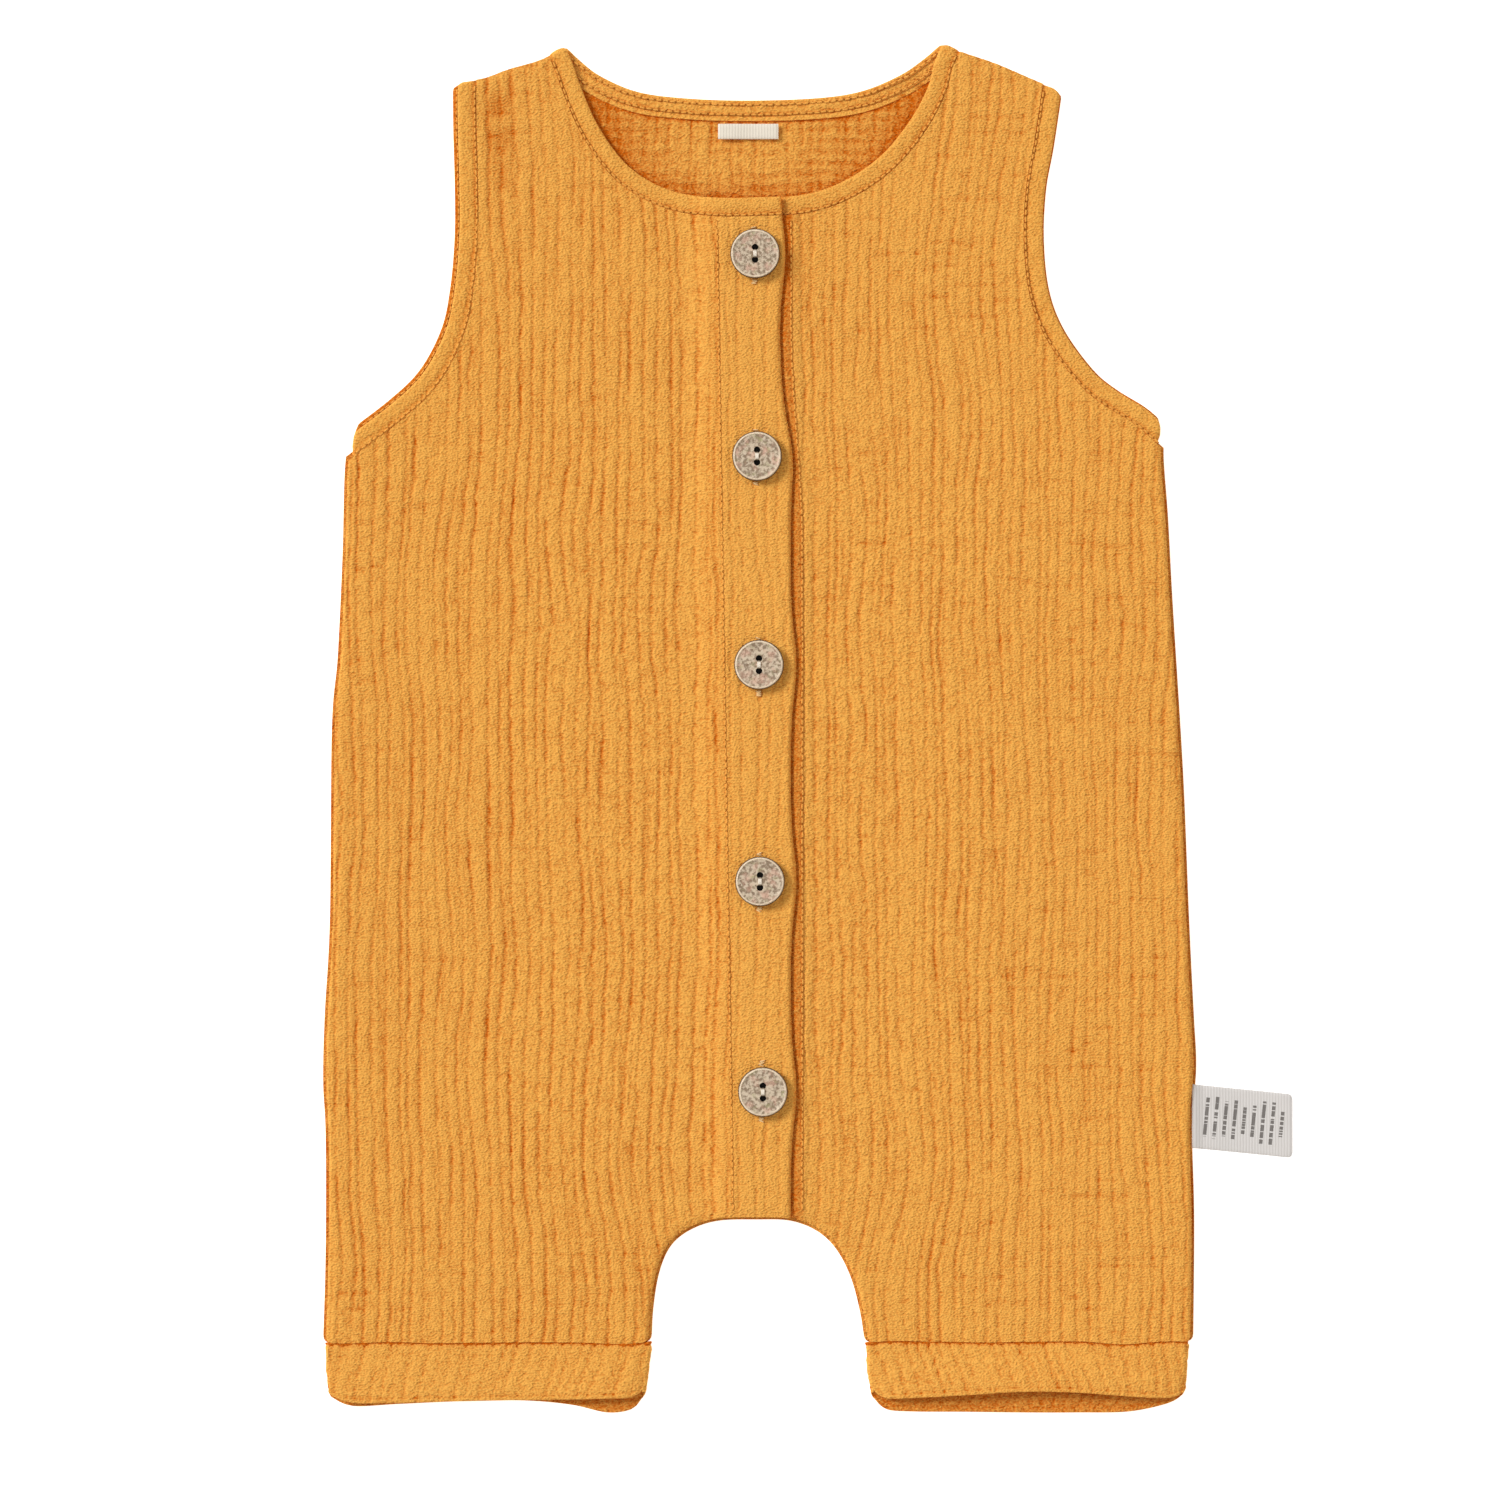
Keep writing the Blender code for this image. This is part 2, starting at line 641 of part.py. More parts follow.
def button_mesh(collection, cutters):
    """A turned button with a sunk middle and two holes, standing on its own origin."""
    radius, thickness = BUTTON_DIAMETER / 2, BUTTON_THICKNESS
    rim_inside, rim_outside = radius - BUTTON_RIM[0], radius - BUTTON_RIM[1]
    profile = (
        (0.0, thickness - BUTTON_SINK), (rim_inside - BUTTON_DISH, thickness - BUTTON_SINK),
        (rim_inside, thickness), (rim_outside, thickness),
        (radius, thickness - BUTTON_ROUND), (radius, BUTTON_ROUND),
        (radius - BUTTON_ROUND, 0.0), (0.0, 0.0),
    )
    mesh = bpy.data.meshes.new("button_profile")
    points = [(r * MM, 0.0, z * MM) for r, z in profile]
    mesh.from_pydata(points, [(i, i + 1) for i in range(len(points) - 1)], [])
    turned = bpy.data.objects.new("button_blank", mesh)
    collection.objects.link(turned)
    screw = turned.modifiers.new("Turn", "SCREW")
    screw.steps = BUTTON_SIDES
    screw.render_steps = BUTTON_SIDES
    screw.use_merge_vertices = True
    screw.merge_threshold = 0.00001
    for side in (-1, 1):
        bpy.ops.mesh.primitive_cylinder_add(
            vertices=HOLE_SIDES, radius=BUTTON_HOLE / 2 * MM, depth=4 * thickness * MM,
            location=(0.0, side * BUTTON_HOLE_SPACING / 2 * MM, thickness / 2 * MM),
        )
        hole = bpy.context.object
        hole.name = f"button_hole_{side}"
        for owner in hole.users_collection:
            owner.objects.unlink(hole)
        cutters.objects.link(hole)
        cut(turned, hole, "DIFFERENCE")
    view = bpy.context.evaluated_depsgraph_get()
    finished = bpy.data.meshes.new_from_object(turned.evaluated_get(view))
    bpy.data.objects.remove(turned)
    finished.shade_smooth()
    finished.set_sharp_from_angle(angle=0.6)
    return finished


def make_buttons(collection, cutters, material):
    """Five buttons on the band, each on the highest cloth under it."""
    mesh = button_mesh(collection, cutters)
    mesh.materials.clear()
    mesh.materials.append(material)
    reach = BUTTON_DIAMETER / 2
    for number, (x, y) in enumerate(BUTTONS, 1):
        under = [(x, y)]
        under += [(x + reach * cos(k * pi / 6), y + reach * sin(k * pi / 6)) for k in range(12)]
        floor = max(lap_floor(*place) for place in under) + BAND_WALL + SEAM_GAP
        button = bpy.data.objects.new(f"button_{number}", mesh)
        button.location = (x * MM, y * MM, floor * MM)
        collection.objects.link(button)


def make_size_label(collection, material):
    """The small label that hangs from the binding inside the back of the neck."""
    half_width, half_height = SIZE_LABEL[0] / 2, SIZE_LABEL[1] / 2
    x, y = SIZE_LABEL_CENTRE
    corners = [
        (x - half_width, y - half_height), (x + half_width, y - half_height),
        (x + half_width, y + half_height), (x - half_width, y + half_height),
    ]
    floor = BACK_WALL + SEAM_GAP
    return prism("size_label", corners, floor, floor + LABEL_WALL, collection, material)


def make_care_label(lines, collection, material):
    """The care label, sewn into the left side seam and lying down to the surface."""
    half = CARE_LABEL_WIDTH / 2
    reach = half + LINE_STEP
    beside = [point for point in lines["left_side"] if abs(point.y - CARE_LABEL_LEVEL) < reach]
    seam_x = max(point.x for point in beside) + SEAM_GAP
    far_x = seam_x + CARE_LABEL_LENGTH
    corners = [(seam_x, -half)]
    for end in (-1, 1):
        centre_y = end * (half - CARE_LABEL_ROUND)
        first_angle = min(end, 0) * pi / 2
        for k in range(CARE_LABEL_ARC + 1):
            angle = first_angle + k / CARE_LABEL_ARC * pi / 2
            corner_x = far_x - CARE_LABEL_ROUND * (1 - cos(angle))
            corners.append((corner_x, centre_y + CARE_LABEL_ROUND * sin(angle)))
    corners.append((seam_x, half))
    points = [(x, CARE_LABEL_LEVEL + y + (x - seam_x) * CARE_LABEL_TILT) for x, y in corners]
    return prism("care_label", points, 0.0, LABEL_WALL, collection, material)


def new_material(name, colour, roughness):
    """A plain finish for one kind of piece."""
    material = bpy.data.materials.new(name)
    material.use_nodes = True
    shader = material.node_tree.nodes["Principled BSDF"]
    shader.inputs["Base Color"].default_value = (*colour, 1.0)
    shader.inputs["Roughness"].default_value = roughness
    shader.inputs["Metallic"].default_value = 0.0
    return material


def main():
    """Build the romper."""
    for old in list(bpy.data.objects):
        bpy.data.objects.remove(old)
    romper = bpy.data.collections.new("baby_romper")
    cutters = bpy.data.collections.new("patterns_and_cutters")
    for collection in (romper, cutters):
        bpy.context.scene.collection.children.link(collection)

    gauze = new_material("mustard_double_gauze", (0.76, 0.32, 0.06), 0.9)
    binding = new_material("mustard_binding", (0.74, 0.31, 0.055), 0.9)
    shell = new_material("coconut_shell", (0.42, 0.32, 0.22), 0.6)
    satin = new_material("label_satin", (0.75, 0.72, 0.66), 0.5)

    lines = garment_lines()
    make_back(lines, romper, gauze)
    make_right_front(lines, romper, cutters, gauze)
    make_left_front(lines, romper, cutters, gauze)
    make_neck_binding(lines, romper, binding)
    for side, table in (("right", RIGHT_CUFF), ("left", LEFT_CUFF)):
        make_armhole_binding(side, lines, romper, binding)
        make_cuff(side, table, romper, gauze)
    make_buttons(romper, cutters, shell)
    make_size_label(romper, satin)
    make_care_label(lines, romper, satin)


main()
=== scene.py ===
"""The looks of a baby's romper in crinkled double gauze, laid flat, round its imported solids.

X runs to the wearer's left, Y to the neck and Z up, as in the solids. Lines, tables and
heights are in millimetres, and MM turns them to metres where a mesh or a node is made.
Every line runs with its cloth on the left hand.
"""

from collections import namedtuple
from math import ceil, cos, hypot, pi, sin

import bmesh
import bpy
import numpy as np
from mathutils import Matrix, Vector


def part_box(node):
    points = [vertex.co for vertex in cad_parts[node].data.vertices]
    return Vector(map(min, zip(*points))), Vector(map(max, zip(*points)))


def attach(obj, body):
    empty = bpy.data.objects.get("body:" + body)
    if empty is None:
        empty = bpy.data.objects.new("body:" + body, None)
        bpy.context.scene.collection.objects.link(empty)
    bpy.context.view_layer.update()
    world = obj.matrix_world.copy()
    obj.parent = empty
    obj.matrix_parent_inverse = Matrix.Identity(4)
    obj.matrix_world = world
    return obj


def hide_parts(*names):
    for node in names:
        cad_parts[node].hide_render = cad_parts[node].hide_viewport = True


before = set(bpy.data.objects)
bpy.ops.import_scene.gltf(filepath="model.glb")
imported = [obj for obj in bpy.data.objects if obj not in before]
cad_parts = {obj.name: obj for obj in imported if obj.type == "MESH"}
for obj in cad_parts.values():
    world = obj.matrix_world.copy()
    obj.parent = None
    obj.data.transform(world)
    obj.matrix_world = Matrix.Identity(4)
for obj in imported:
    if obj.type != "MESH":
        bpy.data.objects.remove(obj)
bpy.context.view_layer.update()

MM = 0.001

# ---- Sizes of the garment, the same as in its solids ----

SEAM_GAP = 0.3
BACK_WALL = 1.2
FRONT_WALL = 1.7
BAND_WALL = 1.8
FRONT_REST = BACK_WALL + SEAM_GAP
LOFT = 0.6                 # how far the tummy stands up
LOFT_ACROSS = (110.0, 50.0)
LOFT_AT_SEAT = (-180.0, -90.0)
LOFT_AT_CHEST = (130.0, 40.0)
FRONT_SET_IN = 0.9
ARMHOLE_SET_IN = {"right": 1.5, "left": 0.5}
BINDING_WIDTH = 5.5
BINDING_WALL = 1.8
BACK_NECK_WIDTH = 6.0
BACK_NECK_RISE = 0.4
CUFF_WALL = 1.5
HEM_LEVEL = -188.2
STITCH_TOP = -12.3         # where the right band is stitched down, along X
STITCH_BOTTOM = -7.2
BAND_TOP = 160.0
BAND_BOTTOM = -151.0
UNDERLAP_EDGE = 2.5
LAP_SLOPE = 11.0
LAP_LANDING = 0.5
EDGE_TOP = 7.0             # where the right front's free edge is, along X
EDGE_LOW = 10.4
EDGE_LEAN = (125.0, 55.0)
EDGE_SWELL = 1.7           # how far that edge swells out beside a button
SWELL_LENGTH = 13.0
CLOTH_HALF_WIDTH = 140.0
CLOTH_PAST_CENTRE = 19.6
CLOTH_MARGIN = 4.0

Point = namedtuple("Point", "x y")


def rows_of(kind, rows):
    """A table whose rows are records of one kind."""
    return tuple(kind(*row) for row in rows)


FRONT_NECK = rows_of(Point, (
    (57.0, 209.8), (54.3, 204.0), (52.2, 196.2), (46.9, 186.4), (38.0, 175.6), (26.4, 167.7),
    (14.4, 163.7), (0.0, 162.7), (-14.0, 162.7), (-26.0, 164.8), (-35.9, 169.6), (-43.0, 176.3),
    (-49.4, 186.1), (-54.0, 196.8), (-56.8, 204.5), (-58.9, 209.1),
))
BACK_NECK = rows_of(Point, (
    (56.6, 210.0), (50.9, 205.1), (43.6, 200.2), (31.9, 195.4), (18.0, 193.3), (-4.0, 192.6),
    (-23.6, 193.4), (-37.1, 195.4), (-48.2, 200.2), (-54.6, 205.1), (-58.9, 209.3),
))
RIGHT_SHOULDER = rows_of(Point, (
    (-58.9, 209.2), (-66.0, 205.1), (-76.4, 202.0), (-83.5, 199.4), (-93.3, 197.6),
))
LEFT_SHOULDER = rows_of(Point, (
    (93.6, 195.2), (84.0, 199.2), (73.0, 203.9), (61.5, 207.8), (56.8, 210.0),
))
RIGHT_ARMHOLE = rows_of(Point, (
    (-93.3, 197.6), (-93.2, 184.0), (-92.7, 165.0), (-92.8, 150.0), (-94.2, 134.5), (-96.9, 122.3),
    (-103.4, 110.0), (-112.5, 101.0), (-125.2, 91.3),
))
LEFT_ARMHOLE = rows_of(Point, (
    (125.5, 93.1), (119.0, 98.6), (110.4, 103.9), (103.1, 110.0), (94.2, 122.3), (89.6, 134.5),
    (88.0, 150.0), (88.7, 165.2), (91.0, 178.0), (93.6, 195.2),
))
RIGHT_SIDE = rows_of(Point, (
    (-125.2, 91.3), (-126.5, 78.0), (-127.2, 52.0), (-128.6, 22.0), (-130.4, 0.0), (-131.0, -58.0),
    (-132.6, -88.0), (-133.1, -108.0), (-132.3, -125.0), (-132.3, -160.0), (-133.1, -188.2),
))
LEFT_SIDE = rows_of(Point, (
    (133.8, -188.2), (134.1, -150.0), (133.5, -122.0), (134.7, -104.0), (134.0, -88.0),
    (132.5, -58.0), (131.0, -20.0), (129.6, 5.0), (127.7, 35.0), (126.1, 64.0), (124.7, 84.0),
    (125.5, 93.1),
))
INSEAM = rows_of(Point, (
    (-32.3, -188.2), (-31.8, -178.0), (-30.0, -167.0), (-26.5, -158.8), (-20.5, -153.8),
    (-12.0, -151.0), (0.0, -150.6), (10.5, -151.0), (18.7, -154.3), (24.5, -160.0), (28.8, -168.5),
    (31.6, -179.0), (33.0, -188.2),
))

# The cuffs, from the outer side to the inner one: the levels of their free edges, and how far
# the front of the opening stands up from the back.
Cuff = namedtuple("Cuff", "x front back gape")
CUFFS = {
    "right": rows_of(Cuff, (
        (-130.4, -204.4, -205.6, 0.1), (-124.0, -206.7, -208.2, 0.7), (-110.0, -206.6, -207.6, 1.1),
        (-92.0, -206.2, -206.8, 0.9), (-72.0, -205.8, -206.5, 0.8), (-57.0, -205.6, -207.8, 1.4),
        (-46.0, -205.3, -210.2, 1.6), (-38.5, -205.0, -209.2, 1.0), (-35.4, -203.2, -206.0, 0.1),
    )),
    "left": rows_of(Cuff, (
        (130.2, -203.8, -205.0, 0.1), (126.0, -205.2, -207.4, 0.8), (114.0, -204.6, -209.9, 2.0),
        (98.0, -203.4, -210.2, 2.6), (82.0, -203.1, -210.2, 2.8), (64.0, -204.2, -210.0, 2.4),
        (48.0, -205.1, -209.9, 1.6), (39.6, -205.3, -209.2, 0.8), (36.0, -203.2, -206.0, 0.1),
    )),
}

# ---- The finer form of the cloth ----

LINE_STEP = 1.6            # between the points of a rounded line
RUN_ON = 12.0              # how far lines run on, so that their neighbours cut them
CORNER = 0.05              # a point this near to a cut, in steps of its line, is left out
CUTTER_REACH = (-5.0, 20.0)   # the heights between which a pattern cuts its cloth
FINE_CELL = (0.42, 1.2)    # of the crinkled side of a front
NECK_SHADE = (12.0, 48.0)  # painted shade on the back in the neck grows from here to there across X, toward the shoulders
WAFFLE_PITCH = 3.4         # of the soft rows across the ribs of the back
WAFFLE_DEPTH = 0.4
WAFFLE_SWAY = (1.3, 14.0)  # how far its rows sway, and over what length
WAFFLE_KINK = (0.5, 3.6)
WAFFLE_STRENGTH = (0.6, 0.5)   # its usual strength, and how much that changes
WAFFLE_PATCH = (10.0, 6.0)     # over what size
BACK_CELL = (1.0, 1.4)     # of the back's underside
PLAIN_CELL = 7.0           # of a plain side that lies on other cloth
NECK_CELL = (0.7, 0.8)     # of the part of the back that shows in the neck
NECK_WINDOW = ((-62.0, 62.0), (150.0, 203.0))

CREASE_PITCH = {"right": 3.9, "left": 3.6}    # the crinkle's upright creases
CREASE_DEPTH = 0.5
CREASE_LIP = 0.1           # how far the cloth stands up beside it
LIP_PLACE = (1.0, 0.35)    # how far from its bottom, and how wide
CREASE_LENGTH = 14.0       # over which a crease grows and fades
CREASE_STRENGTH = 0.78     # its usual share of the depth, and how much that changes
CREASE_FADE = 0.3          # along a crease
CREASE_SPREAD = 0.12       # and from one to the next
STRENGTH_RANGE = (0.06, 1.2)
BROAD_DRIFT = (1.5, 30.0, 34.0)   # how far creases drift together, and over what size
FINE_DRIFT = (0.8, 8.0, 26.0)
CREASE_WANDER = 0.35       # how far it wanders on its own
CREASE_SWAY = 12.0         # and over what length
CREASE_KINK = 0.46         # how far its fine kinks reach
KINK_LENGTH = 1.8
SLOW_KINKS = 0.7           # kinks four times as long, as a share of these
CREASE_CORE = 0.38         # half width of its sharp bottom
CREASE_SIDES = 1.15        # and of its soft sides
CORE_SHARE = 0.55          # of the depth, in the sharp bottom
SIDES_SHARE = 0.45         # and in the soft sides
CREASE_BEADS = 0.08        # how unevenly deep it is from bead to bead
BEAD_LENGTH = 2.6
CREASE_OWN = 0.28          # how unevenly they stand, as a share of the pitch
FORK_DEPTH = 0.22          # of the shorter creases between them
FORK_WIDTH = 0.55
FORK_OWN = 0.2             # how unevenly they stand, as a share of the pitch
FORK_SWAY = (0.5, 10.0)    # how far they sway, and over what length
FORK_STRENGTH = (0.1, 0.7)   # their usual strength, and how much that changes
PINCH_PITCH = 3.3          # the finer pinches across the ribs
PINCH_DEPTH = 0.21
PINCH_WIDTH = 0.42
PINCH_OWN = 0.4            # how unevenly they stand, as a share of the pitch
PINCH_SWAY = (1.1, 17.0)   # how far they sway, and over what length
PINCH_KINK = (0.5, 1.2)    # how far they kink, and how often on a rib
PINCH_USUAL = 0.2          # their usual strength
PINCH_LENGTH = 8.0
LUMP_SIZE = (1.3, 1.4)     # lumps that break up the ribs
LUMP_HEIGHT = 0.25
PUFF_SIZE = (2.4, 3.0)     # small puffs between the pinches
PUFF_HEIGHT = 0.14
PAD_SIZE = (7.5, 10.0)     # broad soft pads under all
PAD_HEIGHT = 0.03
MAIN_WIDTH = 0.6           # half width of a main crease
MAIN_UNEVEN = (0.35, 14.0)   # how much its width changes, and over what length
MAIN_SHARE = 0.4           # the share of its depth that is pressed in
MAIN_SWAY = (0.55, 9.0)
MAIN_START = (-0.12, 0.3)  # it grows and fades between these shares of its length
MAIN_END = (1.12, 0.7)
LEAST_WALL = 0.35          # of a front, under its deepest creases
BAND_PRESS = 0.68          # how much of the crinkle is left where the cloth is turned under
BAND_CALM = (-2.2, -0.2)   # that sets in between these places beside the stitches
EDGE_ROUND = 1.3           # a free edge rolls over within this distance
EDGE_BASE = 0.3            # and has this share of the wall at its very edge
LAP_ROUND = 1.2            # the right front's free edge rolls over a little more tightly
LAP_BASE = 0.25
EDGE_DEPTH = 0.9           # the flank of an edge gets painted shade below this height
EDGE_PAINTED_SHADE = 0.3
LAP_FLANK_PAINTED_SHADE = 0.45            # and more painted shade on the flank of the right front's free edge
LAP_FLANK = 1.0            # within this distance of it
STRIP_PAINTED_SHADE = 0.8           # the share of the fronts' painted shade that strips have
STRIP_EDGE_PAINTED_SHADE = 0.35     # painted shade where a strip's edge turns under
HEM_ROUND = 0.5            # a hem's lip is sharper
HEM_BASE = 0.8
HEM_CORNER = 2.0           # a corner this near to the hem is rounded off
HEM_REACH = 2.4            # from this far away on both its sides
HEM_STEPS = 4              # in this many pieces
GROOVE_WIDTH = 0.6         # of the furrow that a row of stitches pulls in
GROOVE_DEPTH = 0.22
PUCKER_DEPTH = 0.2
PUCKER_REACH = 1.8
HEM_WAVE = 0.6             # of the seam between leg and cuff
HEM_WAVE_LENGTH = 14.0
CUFF_FLARE = 1.03          # a cuff is this much wider at its seam than at its free edge
CUFF_SHIFT = {"right": 0.7, "left": -0.3}   # how far its seam lies toward the inner leg, along X
CUFF_TUCK = 0.8            # how deep it is tucked under the leg's lip
BACK_TUCK = 0.4            # how far the back edge of a cuff is tucked up
SEAM_LAP = 0.45            # a binding covers the edge of the front by this much
PAINTED_SHADE_DEPTH = 0.95          # the relief at which the painted shade in the troughs is at its deepest
PAINTED_SHADE_BEND = 1.5            # above 1 it keeps the painted shade to the troughs
LEFT_ROW_MARGIN = 3.5      # from the right front's free edge to the left band's stitches
LEFT_BAND_PUFF = 0.6       # how much the left front stands up beside that edge
PUFF_RISE = (0.2, 1.4)     # it rises over these distances from the edge
PUFF_FALL = (4.0, 0.0)     # and falls over these from the left band's stitches
LEFT_BAND_PAINTED_SHADOW = 0.7       # painted shadow of the right front's free edge on the left band
LEFT_BAND_FALL = 0.5       # and how much less at its far side
LEFT_BAND_FADE = (0.9, -0.1)   # the band ends between these places beside its stitches
LEFT_BAND_PRESS = 0.5      # how much of the crinkle is pressed out of it
FURROW_PAINTED_SHADE = 0.6          # the share of a furrow that adds painted shade
LAP_SHADE_REACH = 5.0      # how far the painted shade reaches past the left band
LAP_SHADE = (0.1, 0.22)    # how deep it is there, and how much deeper in the rise to the neck
LAP_SHADE_RISE = (100.0, 160.0)
SIDE_ROLL = 1.4            # from the right side seam to the furrow along it
SIDE_ROLL_DEPTH = 0.22
SIDE_ROLL_WIDTH = 0.45

STITCH_PITCH = 2.15
STITCH_THREAD = 0.31       # radius
STITCH_RISE = 0.1
STITCH_INSET = 0.2         # of a row from the inner edge of its binding
BINDING_ROW = BINDING_WIDTH - STITCH_INSET   # of that row from the free edge
BACK_ROWS = (1.4, 4.4)     # of the rows of stitches from the edge of the back of the neck

# Where the creases lean: centre, reach across and along, and lean of X for each unit of Y.
Lean = namedtuple("Lean", "x y across along slope")
LEANS = rows_of(Lean, (
    (64.0, 170.0, 34.0, 50.0, 0.16), (92.0, 68.0, 30.0, 42.0, 0.06),
    (-86.0, 66.0, 36.0, 46.0, 0.10), (-50.0, 150.0, 20.0, 30.0, 0.03),
    (-44.0, -152.0, 28.0, 42.0, -0.10), (44.0, -156.0, 24.0, 36.0, 0.13),
    (122.0, -140.0, 22.0, 40.0, -0.08), (-100.0, -130.0, 30.0, 40.0, -0.05),
))

# Where the pinches across the ribs gather: centre, reach across and along, and gain.
Patch = namedtuple("Patch", "x y across along gain")
PINCH_BASE = 0.85
PINCH_PATCHES = rows_of(Patch, (
    (108.0, 35.0, 20.0, 48.0, 0.9), (59.0, 134.0, 18.0, 14.0, 0.5), (30.0, 92.0, 14.0, 20.0, 0.5),
    (-114.0, 32.0, 15.0, 48.0, 0.7), (-50.0, 99.0, 15.0, 10.0, 0.8),
    (-78.0, 178.0, 12.0, 24.0, 1.3), (-85.0, -172.0, 46.0, 18.0, 0.7),
    (86.0, -168.0, 44.0, 20.0, 0.8), (78.0, 178.0, 14.0, 22.0, 0.3),
    (100.0, -90.0, 30.0, 30.0, 0.5), (74.0, 128.0, 22.0, 18.0, 0.4), (45.0, 140.0, 20.0, 14.0, 0.6),
))

# Where the upright creases are weaker: centre, reach across and along, and share lost.
CALM_PATCHES = rows_of(Patch, (
    (75.0, 178.0, 17.0, 28.0, 0.15), (-73.0, 180.0, 15.0, 28.0, 0.3),
    (-104.0, 40.0, 20.0, 40.0, 0.15), (30.0, 145.0, 22.0, 14.0, 0.25),
    (-40.0, 145.0, 20.0, 14.0, 0.15),
))

# Soft dips beside the right armhole: centre, reach across and along, and depth.
DIPS = rows_of(Patch, (
    (-79.4, 191.0, 4.0, 4.6, 0.40), (-79.2, 180.0, 4.2, 4.6, 0.38), (-79.0, 169.0, 4.0, 4.2, 0.24),
    (-81.0, 157.0, 4.4, 4.4, 0.08),
))

# Fine drag lines that slant across the ribs, from their low to their high end.
Drag = namedtuple("Drag", "low_x low_y high_x high_y depth")
DRAG_WIDTH = 0.5
DRAG_SWAY = (0.5, 2.2)     # how far they sway, and over what length
DRAG_START = (-0.05, 0.15)   # they grow and fade between these shares of their length
DRAG_END = (1.05, 0.75)
DRAGS = rows_of(Drag, (
    (-123.0, 62.4, -96.3, 69.4, 0.26), (-124.6, 48.0, -112.6, 50.8, 0.30),
    (-125.8, 19.6, -104.4, 26.4, 0.26), (-125.0, 12.6, -116.0, 16.6, 0.24),
    (-116.6, 60.4, -107.8, 64.0, 0.22), (-124.4, 78.6, -110.0, 84.4, 0.20),
    (-129.0, -173.0, -115.6, -172.2, 0.45), (-129.2, -179.6, -119.4, -177.0, 0.48),
    (-123.6, 34.0, -113.0, 37.4, 0.18), (-93.0, 46.6, -87.4, 49.8, 0.24),
    (-72.0, 29.0, -64.6, 31.6, 0.22), (-88.0, 4.6, -80.6, 9.0, 0.24),
    (40.0, 139.6, 66.0, 142.4, 0.22), (26.0, 121.4, 58.0, 123.0, 0.20),
    (92.0, 57.0, 114.0, 55.4, 0.22), (98.0, 30.8, 121.0, 32.0, 0.22),
    (66.0, 192.4, 85.0, 191.6, 0.20), (62.0, 187.6, 84.6, 187.2, 0.18),
    (62.0, 182.6, 83.4, 182.2, 0.20), (58.0, 175.2, 82.0, 174.8, 0.18),
    (54.0, 162.6, 80.0, 161.8, 0.14), (52.0, 149.0, 79.0, 150.4, 0.14),
))
